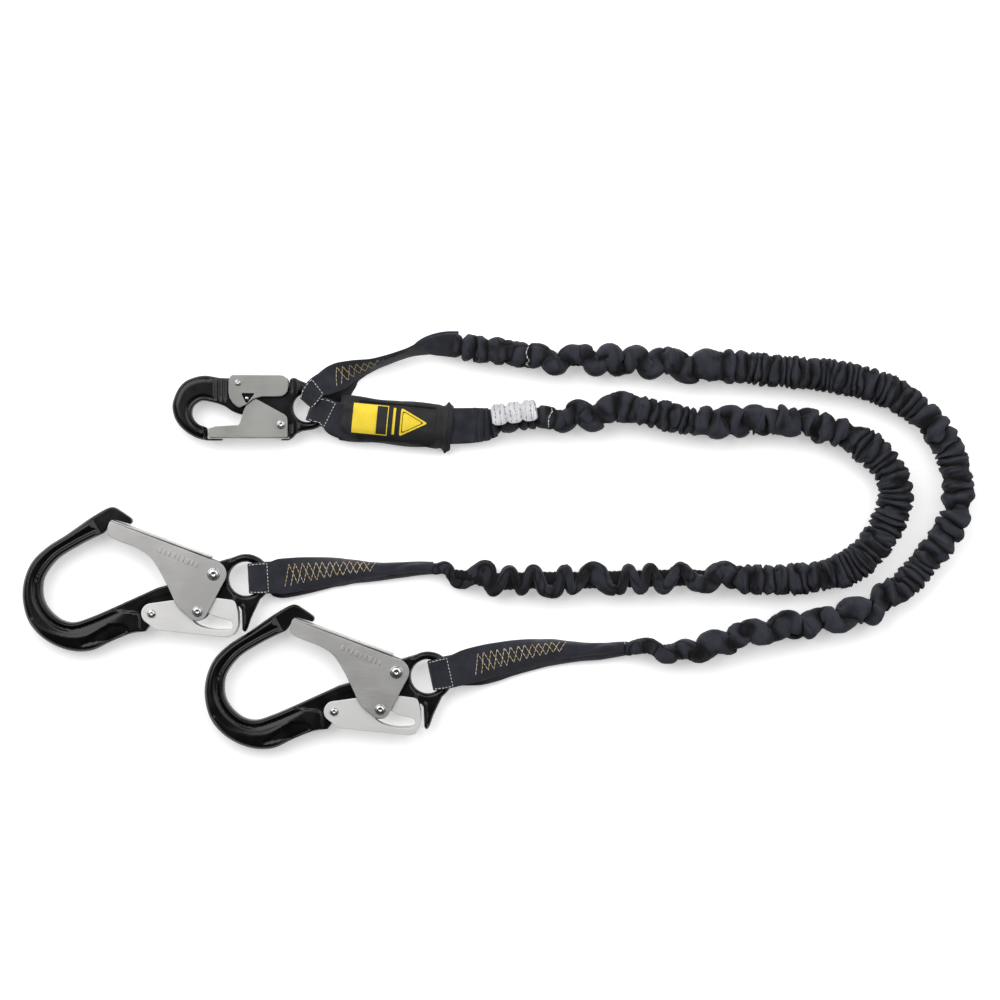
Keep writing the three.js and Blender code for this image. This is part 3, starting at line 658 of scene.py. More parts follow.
def elastic_core(name, route, bare):
    """The elastic strands inside the web, wider over the bare stretch, where the web sways off them."""
    centre = even(smooth_curve([(x / MM, y / MM, 0) for x, y in route], 2.0), 1.2)
    s = lengths(centre)[:, None]
    run = unit(np.gradient(centre, axis=0))
    side = np.stack([-run[:, 1], run[:, 0], 0 * run[:, 0]], -1)
    theta = np.linspace(0, TAU, 20, endpoint=False)[None, :]
    ends = np.clip(np.minimum(s + 4, s[-1] - s + 4) / 30, 0.5, 1)
    spread = step_up(s, bare[0], bare[0] + 30) * (1 - step_up(s, bare[1] - 15, bare[1])) if bare else 0
    strands = 0.35 * np.cos(TAU * s / 4.5 + 0.6 * np.sin(theta)) + 0.3 * np.cos(5 * theta)
    radius = (5.4 + 2.2 * spread + strands) * ends
    rings = centre[:, None] + side[:, None] * (radius * np.cos(theta))[..., None]
    rings[..., 2] = 12.5 * ends + radius * np.sin(theta)
    return loft(name, rings, s[:, 0], np.linspace(0, 34, 21))


def gathered_leg(letter, route, gather, sways, mark, bare, seed):
    """One leg: the gathered web, the core in it and the bar tack at its start."""
    web, place = gathered_web(f"leg_{letter}_web", route, gather, sways, seed)
    core = elastic_core(f"leg_{letter}_core", route, bare)
    stand_in(web, f"leg_{letter}_gathered_web", "legs", gathered_webbing)
    stand_in(core, f"leg_{letter}_elastic_core", "legs", elastic)
    bar = sew(f"leg_{letter}_end_mark", place, [mark], white_thread, stitch=2.8, gap=0.4, radius=0.42)
    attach(bar, "legs")


LEG_A_MARK = [(67, -11), (65.5, -8.5), (68, -4), (65.5, 1), (66.5, 5), (67.5, 11)]
LEG_B_MARK = [(54, -10), (52, -6), (51, -1), (52.5, 3), (53.5, 6), (53, 11)]
LEG_B_BARE = (600, 815)
gathered_leg("a", LEG_A_ROUTE, LEG_A_GATHER, LEG_A_SWAY, LEG_A_MARK, None, 11)
gathered_leg("b", LEG_B_ROUTE, LEG_B_GATHER, LEG_B_SWAY, LEG_B_MARK, LEG_B_BARE, 23)

# ---------------------------------------------------------------- shapes in the plane
def nearest(points, line):
    """Distance from each of the points to a polyline."""
    best = np.full(len(points), 1e9)
    for a, b in zip(line[:-1], line[1:]):
        run = b - a
        t = np.clip((points - a) @ run / max(run @ run, 1e-9), 0, 1)
        best = np.minimum(best, np.hypot(*(points - a - t[:, None] * run).T))
    return best


def within(points, polygon):
    """Which of the points lie inside a closed polygon."""
    x, y = points.T
    odd = np.zeros(len(points), bool)
    for (ax, ay), (bx, by) in zip(polygon, np.roll(polygon, -1, axis=0)):
        crosses = (ay > y) != (by > y)
        odd ^= crosses & (x < (bx - ax) * (y - ay) / (by - ay + 1e-12) + ax)
    return odd


def closed(points):
    """The points with the first one again at the end."""
    return np.vstack([points, points[:1]])


def arc(centre, radius, start, end, steps=12):
    """Points on an arc, between two headings in degrees."""
    angles = np.radians(np.linspace(start, end, steps + 1))
    return [(centre[0] + radius * math.cos(a), centre[1] + radius * math.sin(a)) for a in angles]


def curved(points, step=1.5):
    """A smooth line in the plane through the points."""
    flat = [(x, y, 0) for x, y in points]
    return [tuple(p[:2]) for p in smooth_curve(flat, step)]


def region(points, polygon, soft):
    """1 inside a polygon, falling to 0 over the distance soft outside it."""
    polygon = np.array(polygon, float)
    away = np.where(within(points, polygon), 0, nearest(points, closed(polygon)))
    return 1 - step_up(away, 0, soft)


def rounded(edge, radius, power=2.2):
    """Height factor of a rounded edge, 0 on the outline and 1 from radius inwards."""
    return (1 - (1 - np.clip(edge / radius, 0, 1)) ** power) ** (1 / power)


def relief(name, outline, height, hole, spacing=1.15):
    """A forging that is the same on both faces: its half thickness is height(points, edge distance)."""
    loops = [np.array(outline, float), np.array(hole, float)]
    rows = (0.07, 0.28, 0.65, 1.2, 1.9, 2.7, 3.6)
    rims, extra, edges = [], [], []
    for loop in loops:
        rim = even(np.c_[closed(loop), np.zeros(len(loop) + 1)], 0.9)[:-1, :2]
        first = sum(len(r) for r in rims)
        edges += [(first + k, first + (k + 1) % len(rim)) for k in range(len(rim))]
        rims.append(rim)
        run = unit(np.roll(rim, -1, axis=0) - np.roll(rim, 1, axis=0))
        for d in rows:
            for sign in (-1, 1):
                extra.append(np.c_[rim + sign * d * np.c_[-run[:, 1], run[:, 0]], np.full(len(rim), d)])
    extra = np.vstack(extra)
    low, high = rims[0].min(0), rims[0].max(0)
    grid = np.stack(np.meshgrid(*(np.arange(a, b, spacing) for a, b in zip(low, high))), -1).reshape(-1, 2)
    grid = np.vstack([extra, np.c_[grid + 0.013, np.full(len(grid), rows[-1] + 0.5)]])
    edge = np.minimum(nearest(grid[:, :2], closed(rims[0])), nearest(grid[:, :2], closed(rims[1])))
    solid = within(grid[:, :2], rims[0]) & ~within(grid[:, :2], rims[1])
    grid = grid[solid & (edge > grid[:, 2] * 0.93)][:, :2]
    flat = np.vstack([*rims, grid])
    made = delaunay_2d_cdt([Vector(p) for p in flat], edges, [], 0, 1e-4, False)
    flat = np.array([tuple(p) for p in made[0]])
    triangles = np.array(made[2])
    middle = flat[triangles].mean(1)
    triangles = triangles[within(middle, rims[0]) & ~within(middle, rims[1])]
    edge = np.minimum(nearest(flat, closed(rims[0])), nearest(flat, closed(rims[1])))
    tall = np.where(edge > 0.01, height(flat, edge), 0)
    n = len(flat)
    under = np.where(edge > 0.01, np.arange(n) + n, np.arange(n))
    points = np.vstack([np.c_[flat, tall], np.c_[flat, -tall]])
    return put_mesh(name, points, triangles.tolist() + under[triangles][:, ::-1].tolist())


def cut_plate(name, outlines, low, high, edge=0.45):
    """A stamped plate from z low to high with rounded edges. Outlines after the first are windows."""
    data = bpy.data.curves.new(name, "CURVE")
    data.dimensions = "2D"
    data.fill_mode = "BOTH"
    data.extrude = ((high - low) / 2 - edge) * MM
    data.bevel_depth = edge * MM
    data.bevel_resolution = 2
    data.offset = -edge * MM
    for outline in outlines:
        spline = data.splines.new("POLY")
        spline.points.add(len(outline) - 1)
        spline.use_cyclic_u = True
        for point, (x, y) in zip(spline.points, outline):
            point.co = (x * MM, y * MM, 0, 1)
    shape = in_scene(name, data)
    flat = evaluated_mesh(shape)
    bpy.data.objects.remove(shape)
    flat.transform(Matrix.Translation((0, 0, (low + high) / 2 * MM)))
    flat.polygons.foreach_set("use_smooth", [True] * len(flat.polygons))
    piece = in_scene(name, flat)
    piece.modifiers.new("weld", "WELD").merge_threshold = 0.02 * MM
    piece.modifiers.new("normals", "WEIGHTED_NORMAL")
    finished = evaluated_mesh(piece)
    piece.modifiers.clear()
    piece.data = finished
    return piece


def channel(name, outlines, inner, outer, web):
    """A gate or lever: two plates either side of the forging, joined along one edge by a web."""
    (ax, ay), (bx, by) = web
    run = Vector((bx - ax, by - ay)).normalized() * 1.75
    slab = [(ax, ay), (bx, by), (bx + run.y, by - run.x), (ax + run.y, ay - run.x)]
    return joined(name, [
        cut_plate(name + "_top", outlines, inner, outer),
        cut_plate(name + "_bottom", outlines, -outer, -inner),
        cut_plate(name + "_web", [slab], -outer + 0.1, outer - 0.1, 0.7),
    ])


def turned(name, at, profile, steps=40):
    """A rivet or pin: the profile's (radius, z) points turned round an upright axis."""
    angles = np.linspace(0, TAU, steps, endpoint=False)
    rings = [[(at[0] + r * math.cos(a), at[1] + r * math.sin(a), z) for a in angles] for r, z in profile]
    return loft(name, np.array(rings), np.arange(len(profile)) * 1.0, np.linspace(0, 10, steps + 1))


def rivet_profile(shaft, head, seat, top):
    """A domed head with a raised rim and a pressed middle above, and a flatter one below."""
    over = [(0.02, 0.72), (0.14, 0.7), (0.24, 0.86), (0.4, 0.97), (0.52, 0.9), (0.66, 0.62), (0.76, 0.5),
            (0.85, 0.58), (0.95, 0.5), (1.0, 0.25), (1.0, 0.0)]
    upper = [(r * head, seat + z * top) for r, z in over] + [(shaft, seat)]
    under = [(shaft, -seat), (head, -seat), (head, -seat - 0.5), (head * 0.85, -seat - 0.8),
             (0.05, -seat - 0.9)]
    return upper + under


def fit(piece, eye, body, node, material):
    """Moves a piece made about a hook's eye to its place, in its mesh, to stand for a CAD node."""
    piece.data.transform(Matrix.Translation((eye[0] * MM, eye[1] * MM, HOOK_Z * MM)))
    stand_in(piece, node, body, material)


# ---------------------------------------------------------------- the scaffold hooks
BIG_GATE_PIVOT, BIG_PIN, BIG_LEVER_PIVOT = (-28, 4.5), (-42.5, -29), (-84, -31)
BIG_GATE_LEVELS, BIG_LEVER_LEVELS = (9.2, 11.0), (7.0, 8.8)
BIG_BACK = curved([
    (-113, 61.6), (-116.5, 63.9), (-120, 64.9), (-124, 64.1), (-140, 55), (-160, 41), (-180, 28),
    (-193, 15), (-200, -2), (-201, -20), (-195, -40), (-181, -55), (-160, -64.5), (-140, -65), (-120, -56),
    (-103, -49.5), (-90, -47.5),
])
BIG_THROAT = curved([
    (-80, -8), (-100, -17), (-120, -26), (-140, -34.5), (-155, -39), (-165, -37), (-172, -32.5),
    (-178, -26), (-182, -18), (-183, -8), (-181, 2), (-170, 17), (-150, 30), (-128, 41),
])
BIG_OUTLINE = [
    (-104, 49), (-102.2, 50.6), (-101.8, 52.4), (-102.6, 54.4), (-104.5, 55.9), (-108.5, 58.6), *BIG_BACK,
    (-85, -41), (-78, -39), (-60, -26), (-46, -24.5), (-12, -24.5), (-6, -25), (-4, -28), (-3.5, -45),
    (-2.4, -47.4), (-1, -48), (0.4, -47), (2, -44), (5, -35), *arc((0, 0), 22.5, -55, 116, 40),
    *arc(BIG_GATE_PIVOT, 11, 80, 170, 8), (-60, -2), (-71, -5.5), *BIG_THROAT, (-126, 43), (-121, 52),
    (-119.5, 53), (-117.5, 53.2),
]


def big_body_height(p, edge):
    """Half the scaffold hook forging's thickness at points in the plane."""
    x, y = p.T
    throat = nearest(p, np.array(BIG_THROAT + [(-126, 43), (-121, 52)]))
    back = nearest(p, np.array(BIG_BACK))
    bow = 1 - step_up(x, -128, -104)
    # the bow: a round bead along the throat, a groove, and a crowned web out to the back
    bead = 8.3 * np.sqrt(np.clip(1 - ((throat - 3.0) / 3.1) ** 2, 0, 1))
    span = np.clip((throat - 7.5) / (throat + back - 7.5 + 1e-6), 0, 1)
    web = 7.0 + 1.1 * np.sin(math.pi * np.clip(span * 1.15, 0, 1)) ** 0.8
    web -= 1.3 * bell(throat, 6.9, 0.9)
    web *= rounded(back, 4.8, 2.0)
    tall = bow * np.maximum(np.where(throat < 6.4, bead, 0), web * step_up(throat, 3.0, 6.5))
    tall += (1 - bow) * 8.0 * rounded(edge, 2.6)
    # a ridge runs round the heel of the bow
    heel = np.array(curved([(-192, -37), (-183, -45.5), (-172, -50), (-157, -53), (-145, -52),
                            (-134, -47.5), (-125, -43)]))
    tall += 1.0 * bell(nearest(p, heel), 0, 1.3) * rounded(edge, 4)
    # a panel sunk into the heel
    panel = [(-147, -60), (-143, -55), (-134, -49), (-127, -44), (-121, -41.6), (-111, -41.2), (-106.5, -43),
             (-105, -47), (-108, -49), (-122, -55)]
    tall -= 2.3 * region(p, panel, 0.7) * rounded(edge, 2.5)
    # the nose is thinner than the arm beyond a slanting facet
    beyond = (x + 136.5) * 0.863 + (y - 47) * 0.504
    nose = np.clip((beyond + 2.7) / 5.4, 0, 1) * (y > 20)
    tall = np.minimum(tall, 8.3 - 3.1 * nose + 6 * (nose == 0))
    # the neck is thinner again, so that the gate and the lever can straddle it
    ledge = [(-131, -12), (-127, -26.6), (-97, -30), (-94, -35), (-91.5, -60), (30, -60), (30, 30),
             (-60, 30), (-95, 0)]
    tall = np.minimum(tall, 8.4 - 1.9 * region(p, ledge, 1.3))
    waist = [(-94.5, -60), (-94.5, -27), (-88, -19.5), (-69, -13.5), (-30, -5.2), (-13, -4.7), (-8, -8.5),
             (8, -14.5), (8, -60)]
    tall = np.minimum(tall, 8.4 - 2.15 * region(p, waist, 1.2))
    tall = np.minimum(tall, 8.4 - 3.6 * step_up(x, -16, -8)) * np.where(x > -16, rounded(edge, 3.6, 2.0), 1)
    fin = np.array([(-1.9, -24.0), (-1.3, -45.2)])
    return np.maximum(tall, 5.8 * np.sqrt(np.clip(1 - (nearest(p, fin) / 2.1) ** 2, 0, 1)))


def big_gate_outline():
    """The outline of the scaffold hook's gate."""
    return [
        (-120.8, 52), (-121.9, 50), (-123.2, 46), (-123.4, 43), (-122.4, 39.6), (-120, 37.3),
        *curved([(-118, 36.3), (-110, 33), (-97, 28), (-85, 20), (-75, 5), (-70, -5), (-60, -25),
                 (-53, -31.5)], 3),
        *arc(BIG_PIN, 8.6, 235, 330, 12), *arc(BIG_GATE_PIVOT, 11.5, -27, 68, 14),
    ]


def big_lever_outlines():
    """The outline of the scaffold hook's lever, and its window."""
    outline = [
        *arc(BIG_LEVER_PIVOT, 9.3, 100, 235, 16), (-80, -45.7), (-18, -52.2), (-14, -51.8), (-11, -50.3),
        (-8.4, -47.4), (-6.8, -43.6), (-6, -40), (-6.5, -30), (-8.2, -22.5), (-9.5, -20), (-12, -18.7),
        (-25, -17), (-65, -19),
    ]
    window = [
        *arc(BIG_PIN, 3.1, 60, 180, 8), *curved([(-46.8, -38), (-43, -41.2), (-35, -44.2), (-25, -45.6),
        (-14, -44.9), (-11.6, -43), (-11.2, -40), (-13, -37.2), (-18, -36), (-26.8, -33.7)], 3),
    ]
    return [outline, window]


def raised_bars(start, end, count, tall):
    """A row of short plain raised bars, as a stamping with no letters in it."""
    start, end = Vector(start), Vector(end)
    run = (end - start).normalized()
    rise = Vector((-run.y, run.x)) * tall / 2
    bars = []
    for k in range(count):
        at = start.lerp(end, k / (count - 1))
        wide = run * (0.8 if k % 3 else 1.7)
        corners = [at - wide - rise, at + wide - rise, at + wide + rise, at - wide + rise]
        bars.append(cut_plate(f"bar_{k}", [[tuple(c) for c in corners]], 10.6, 11.45, 0.2))
    return bars


def scaffold_hook(name):
    """One scaffold hook: forging, gate, lever, rivets, pin and springs."""
    eye = EYES[name]
    body = relief(name + "_forging", BIG_OUTLINE, big_body_height, arc((0, 0), 15.2, 0, 354, 59))
    gate = channel(name + "_gate_channel", [big_gate_outline()], *BIG_GATE_LEVELS,
                   ((-31.5, 18.9), (-120.3, 51.6)))
    gate = joined(name + "_gate_stamped", [gate, *raised_bars((-76, 26), (-43, 12.6), 9, 4.6)])
    lever = channel(name + "_lever_channel", big_lever_outlines(), *BIG_LEVER_LEVELS,
                    ((-79.5, -44.2), (-18.8, -50.4)))
    fit(body, eye, name, name + "_body", alloy)
    fit(gate, eye, name + "_gate", name + "_gate", gate_plate)
    fit(lever, eye, name + "_lever", name + "_lock_lever", lever_plate)
    for part, at, shaft, head, seat, top, carrier in (
        ("gate_rivet", BIG_GATE_PIVOT, 3.2, 5.7, 11.1, 1.8, name),
        ("lock_pin", BIG_PIN, 2.5, 4.8, 11.1, 1.7, name + "_gate"),
        ("lever_rivet", BIG_LEVER_PIVOT, 2.6, 3.9, 8.9, 1.6, name),
    ):
        piece = turned(f"{name}_{part}_head", at, rivet_profile(shaft, head, seat, top))
        fit(piece, eye, carrier, f"{name}_{part}", steel)
    for part in ("gate_spring", "lever_spring"):
        coat(bpy.data.objects[f"{name}_{part}"], steel)


# ---------------------------------------------------------------- the snap hook
SMALL_GATE_PIVOT, SMALL_LEVER_PIVOT, STOP_PIN = (-23.5, -15.5), (-62, 22), (-54, 8)
SMALL_GATE_LEVELS, SMALL_LEVER_LEVELS = (6.8, 8.3), (8.6, 10.1)
SMALL_BACK = curved([
    (-80, 27), (-85, 28), (-92, 29), (-100, 28), (-110, 24), (-116, 18), (-120, 10), (-122, 2), (-121, -6),
    (-118, -13), (-112, -20), (-103, -26.2), (-95, -29), (-86, -29.9), (-78.5, -29.9),
])
SMALL_THROAT = curved([
    (-93, -17), (-98, -15), (-102, -11), (-104, -6), (-103, 0), (-100, 3.5), (-95, 6), (-90, 5.5), (-80, 3),
    (-74, 0.5), (-68, -3.5), (-62, -6),
])
SMALL_OUTLINE = [
    (-8, 25), (-10.5, 26.6), (-13, 27), (-15.4, 26.2), (-16, 24.5), (-17, 18.4), (-24, 17), (-55, 24),
    (-60, 26.3), (-66, 26.3), (-71.5, 26.6), *SMALL_BACK, (-76.3, -29.2), (-76.6, -28.2), (-90, -28),
    (-90.3, -27.6), (-90.3, -18.5), *SMALL_THROAT, (-50, -8.5), (-40, -13.5), (-33, -19.5), (-29, -22.5),
    (-24, -23.8), (-17, -24), (-16.5, -27.6), (-17, -28), (-24, -28.2), (-24.2, -29.3), (-23.8, -29.7),
    (-17, -29.6), (-13.5, -27.7), (-10, -24), (-5, -21.5), *arc((0, 0), 20.5, -85, 78, 40),
]


def small_body_height(p, edge):
    """Half the snap hook forging's thickness at points in the plane."""
    x, y = p.T
    throat = nearest(p, np.array([(-90.3, -27)] + SMALL_THROAT))
    bow = 1 - step_up(x, -92, -80)
    bead = 6.0 * np.sqrt(np.clip(1 - ((throat - 1.7) / 1.8) ** 2, 0, 1))
    round_bow = 6.0 * rounded(edge, 6.5, 1.9) - 0.6 * bell(throat, 4.1, 0.7)
    tall = bow * np.maximum(np.where(throat < 3.6, bead, 0), round_bow * step_up(throat, 1.6, 3.8))
    tall += (1 - bow) * 5.9 * rounded(edge, 1.8)
    # upright ribs where the bow meets the plates
    for middle in (-83.5, -78.5, -74.5):
        tall -= 0.9 * bell(x, middle, 0.8) * step_up(y, 4, 10) * rounded(edge, 2)
    # shoulders with ribs between the plates and the eye
    for middle in (-18.5, -14.5):
        tall -= 0.8 * bell(x, middle, 0.7) * step_up(np.abs(y), 12, 16)
    tall = np.minimum(tall, 6.0 - 1.5 * step_up(x, -10, -6)) * np.where(x > -9, rounded(edge, 3.75, 2.0), 1)
    return np.maximum(tall, 0.05)


def lever_spring(x, low, high, turns=6.5, radius=2.2, wire=0.5):
    """A coil standing along Y between the snap hook's body and its lever, with closed ends."""
    t = np.linspace(0, 1, int(turns * 28))
    pitch = np.interp(t, [0, 0.14, 0.86, 1], [0, 0.04, 0.96, 1])
    angle = TAU * turns * t
    line = np.stack([x + radius * np.cos(angle), low + (high - low) * pitch, radius * np.sin(angle)], -1)
    out = np.stack([np.cos(angle), 0 * t, np.sin(angle)], -1)
    theta = np.linspace(0, TAU, 10, endpoint=False)
    up = np.array([0, 1.0, 0])
    rings = line[:, None] + wire * (np.cos(theta)[None, :, None] * out[:, None]
                                    + np.sin(theta)[None, :, None] * up)
    return loft("snap_lever_coil", rings, lengths(line), np.linspace(0, 2.8, 11))


def snap_hook():
    """The snap hook: forging, gate, lever, rivets, pin and springs."""
    name, eye = "snap_hook", EYES["snap_hook"]
    gate_outline = [
        (-45, 7.2), (-46.6, 7.5), (-48, 7), (-54.4, 2.4), (-57.1, -3.1), (-58.8, -9.2), (-60, -13),
        (-61, -15.2), (-62.6, -16), (-82, -17), (-88.5, -19), (-88.7, -26), (-88.2, -27), (-87, -27.5),
        (-19, -27.5), (-17.9, -27), (-17.5, -26), (-17.5, -12), (-18, -9), (-20, -6.5),
    ]
    lever_outline = [
        (-24, 28.8), (-66, 29), (-68, 28.4), (-69.4, 27), (-70.3, 24), (-70.5, 14), (-69.5, 8.5),
        (-66.5, 3.5), (-62.5, 0.3), (-60, -0.5), (-55, 2), (-48.5, 7), (-43, 8.7), (-40, 9.5), (-25, 9.5),
        (-21.5, 10.2), (-19, 12), (-17.4, 14.5), (-17, 17), (-17, 22), (-17.8, 25), (-19.4, 27.2),
        (-21.5, 28.5),
    ]
    window = [(-57.9, 12.3), (-58.5, 11.6), (-55.3, 4.7), (-54.4, 3.9), (-53.3, 4.2), (-47.5, 11.3),
              (-48, 12.3)]
    body = relief(name + "_forging", SMALL_OUTLINE, small_body_height, arc((0, 0), 13, 0, 353, 53), 0.9)
    gate = channel(name + "_gate_channel", [gate_outline], *SMALL_GATE_LEVELS, ((-87.6, -25.8), (-27, -25.8)))
    lever = channel(name + "_lever_channel", [lever_outline, window], *SMALL_LEVER_LEVELS,
                    ((-24.5, 27.1), (-67.5, 27.4)))
    fit(body, eye, name, "snap_body", alloy)
    fit(gate, eye, "snap_gate", "snap_gate", snap_plate)
    fit(lever, eye, "snap_lever", "snap_lock_lever", snap_plate)
    for part, at, shaft, head, seat, top in (
        ("gate_rivet", SMALL_GATE_PIVOT, 2.4, 3.9, 8.4, 1.9),
        ("lever_rivet", SMALL_LEVER_PIVOT, 1.9, 2.9, 10.2, 1.6),
    ):
        piece = turned(f"snap_{part}_head", at, rivet_profile(shaft, head, seat, top))
        fit(piece, eye, name, "snap_" + part, steel)
    pin = turned("snap_stop_pin_rod", STOP_PIN, [(0.1, 9.8), (1.3, 9.7), (1.75, 9.2), (1.8, 8.8), (1.8, -9.4),
                                                (1.5, -9.75), (0.1, -9.8)])
    fit(pin, eye, name, "snap_stop_pin", steel)
    coat(bpy.data.objects["snap_gate_spring"], steel)
    coil = lever_spring(-33, 11.5, 26.1)
    fit(coil, eye, name, "snap_lever_spring", steel)
    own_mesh(coil)


scaffold_hook("hook_a")
scaffold_hook("hook_b")
snap_hook()

# ---------------------------------------------------------------- flat webbing and sewing
WEB = 16.5
FOLD_DEPTH = 1.35


def ribbon(name, stations, thick, material, seed=1, rough=0.12, fold=None):
    """A flat web through stations (x, y, z, half width, heading, roll, curl), angles in degrees.

    A fold (start, end) is a lengthwise crease in the outer face between those places along the web.
    Returns the piece, place(along, across, lift), which gives points on its outer face, and its length.
    """
    rng = np.random.default_rng(seed)
    rows = smooth_curve(stations, 1.0)
    centre, half = rows[:, :3], rows[:, 3]
    heading, roll, curl = np.radians(rows[:, 4:7]).T
    s = lengths(centre)
    run = unit(np.gradient(centre, axis=0))
    wide = np.stack([-np.sin(heading), np.cos(heading), 0 * s], -1)
    wide = unit(wide - run * np.sum(wide * run, -1, keepdims=True))
    inward = np.cross(run, wide)
    turn, tip = np.cos(roll)[:, None], np.sin(roll)[:, None]
    wide, inward = wide * turn + inward * tip, inward * turn - wide * tip

    def place(along, across, lift=0.0, above=thick / 2 + rough):
        """Points on the outer face: along from the start, across from the middle, both in millimetres."""
        along, across, lift = np.broadcast_arrays(along, across, lift)

        def at(table):
            return np.stack([np.interp(along, s, column) for column in table.T], -1)

        width = np.interp(along, s, half)
        bend = across / width * np.interp(along, s, curl) / 2 + 1e-9
        side = across * np.sin(bend) / bend
        down = across * (1 - np.cos(bend)) / bend
        out = at(wide) * np.sin(bend)[..., None] - at(inward) * np.cos(bend)[..., None]
        spot = at(centre) + at(wide) * side[..., None] + at(inward) * down[..., None]
        return spot + out * (lift + above)[..., None]

    u = np.sin(np.linspace(-1, 1, 23) * math.pi / 2)
    u = 0.75 * u + 0.25 * np.linspace(-1, 1, 23)
    body = thick / 2 * (np.sqrt(np.clip(1 - np.abs(u) ** 14, 0.02, 1)) + 0.12 * bell(np.abs(u), 0.92, 0.05))
    across = np.concatenate([u, u[::-1]])
    face = np.concatenate([body, -body[::-1]])
    waves = rough * wander(rng, s[:, None], across[None] * 2.5, 28, around=3)
    lift = face[None] + waves
    if fold:
        ease = step_up(s, fold[0], fold[0] + 12) * (1 - step_up(s, fold[1] - 12, fold[1]))
        line = 0.1 + 0.22 * np.sin(s / 8.5)
        lift = lift - FOLD_DEPTH * ease[:, None] * bell(across[None], line[:, None], 0.12) * (face > 0)
    along = np.broadcast_to(s[:, None], lift.shape)
    rings = place(along, across[None] * half[:, None], lift, 0.0)
    rings[..., 2] = np.maximum(rings[..., 2], 0.35)
    cloth = np.concatenate([across, across[:1]]) * WEB
    piece = loft(name, rings, s, cloth)
    piece.data.materials.append(material)
    return piece, place, s[-1]


def zigzag(start, end, low, high, count):
    """Two zigzags out of step with each other, on a web whose edges are at low and high there."""
    pitch = (end - start) / count
    lines = []
    for shift in (0, 0.9 * pitch):
        line = []
        for k in range(count + 1):
            t = k / count
            edges = (low[0] + (low[1] - low[0]) * t, high[0] + (high[1] - high[0]) * t)
            line.append((start + (end - start) * t + shift, edges[k % 2]))
        lines.append(line)
    return lines


def through_eye(eye, heading, widths, offsets):
    """Stations of a web that comes down to a hook's ring, passes through the eye and goes back.

    widths holds (sideways, half width) in the eye and then beyond the ring.
    """
    a = math.radians(heading)
    rows = []
    for out, up in offsets:
        t = float(step_up(out, 4, 14))
        side, half = (widths[0][k] + (widths[1][k] - widths[0][k]) * t for k in (0, 1))
        x = eye[0] + out * math.cos(a) - side * math.sin(a)
        y = eye[1] + out * math.sin(a) + side * math.cos(a)
        rows.append((x, y, HOOK_Z + up, half, heading, 0, 0))
    return rows


def doubled(*upper):
    """A loop's (out, up) points: over the ring, round in its bore and back underneath."""
    return [*upper, *((out, -up) for out, up in upper[-2::-1])]


BIG_LOOP = doubled((22.5, 6.9), (14, 7.3), (7, 6.8), (3.6, 4.4), (2.7, 0))
BIG_PAD = doubled((25, 5.4), (14, 5.75), (8.5, 5.4), (5.3, 3.4), (4.5, 0))
SMALL_LOOP = doubled((20, 6.2), (13, 6.6), (6.5, 6.2), (3.4, 4), (2.5, 0))
SMALL_PAD = doubled((22, 4.9), (13, 5.2), (8, 4.9), (5, 3.1), (4.2, 0))
OVER_LOOP = doubled((20, 9), (13, 9.4), (6.5, 8.8), (3.4, 5.6), (2.5, 0))
OVER_PAD = doubled((22, 7.7), (13, 8), (8, 7.5), (5, 4.8), (4.2, 0))


def carried(piece, hook, heading):
    """Bakes a web's placement into its mesh."""
    a = math.radians(heading)

    def spot(out):
        x, y = EYES[hook]
        return tuple(MM * v for v in (x + out * math.cos(a), y + out * math.sin(a), HOOK_Z))

    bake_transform(piece)


def seam(name, place, lines, material, hook, heading, **size):
    """Stitches on the strap that they are sewn through, with their placement baked into their mesh."""
    piece = sew(name, place, lines, material, **size)
    carried(piece, hook, heading)
    return piece


# Stations: x, y, height, half width, heading, roll, curl.
LEG_A_SNAP_UPPER = [
    (54, 69.4, 15.5, 11, 0, -4, 10), (46, 69.6, 16, 10.5, 4, -10, 20), (36, 68.4, 16, 10, 12, -28, 40),
    (27, 66.4, 15.5, 10.6, 22, -54, 50), (15, 63.6, 15, 11.5, 21, -76, 36),
    (4, 60.4, 14.5, 12, 21, -80, 22), (-6, 57.0, 14.5, 12.5, 21, -80, 20),
    (-16, 53.8, 15, 12.6, 20, -77, 22), (-26, 50.6, 15.4, 13, 20, -70, 24),
    (-36, 47.6, 15.8, 13, 24, -58, 26), (-46, 43.2, 16.8, 13, 32, -33, 20),
    (-55, 39.6, 18.6, 12.4, 42, -12, 10), (-63.5, 35, 20.6, 11, 50, 0, 0),
]
LEG_A_SNAP_LOWER = [
    (-61.5, 27.6, 3.8, 13.2, 50, 0, 0), (-54.5, 31.2, 4.6, 14.4, 42, 8, -10),
    (-48, 36.8, 6.6, 13.8, 34, 28, -20), (-41, 41.8, 9, 13.2, 28, 50, -24),
    (-33, 45.8, 9.6, 13, 24, 62, -24), (-25, 48.8, 10.2, 12.6, 21, 70, -24),
    (-16, 52, 11.4, 12.2, 20, 77, -22), (-6, 55.2, 12.5, 12, 21, 80, -20), (4, 58.6, 13, 11.6, 21, 80, -24),
    (15, 62.4, 13.2, 11.2, 22, 73, -40), (27, 67.4, 12.6, 10.6, 22, 46, -50),
    (36, 70.6, 12.4, 10, 12, 24, -40), (46, 72.4, 12.4, 10, 4, 8, -15), (57, 73, 13, 9.6, -2, 0, 0),
]
LEG_B_SNAP_UPPER = [
    (-26, -1.5, 14, 16, -8, 0, 0), (-38, 0.4, 14.4, 16, -9, 0, 0), (-47, 2.2, 15.2, 15.6, -12, 0, 0),
    (-54, 4.3, 17, 14.4, -18, 0, 0),
]
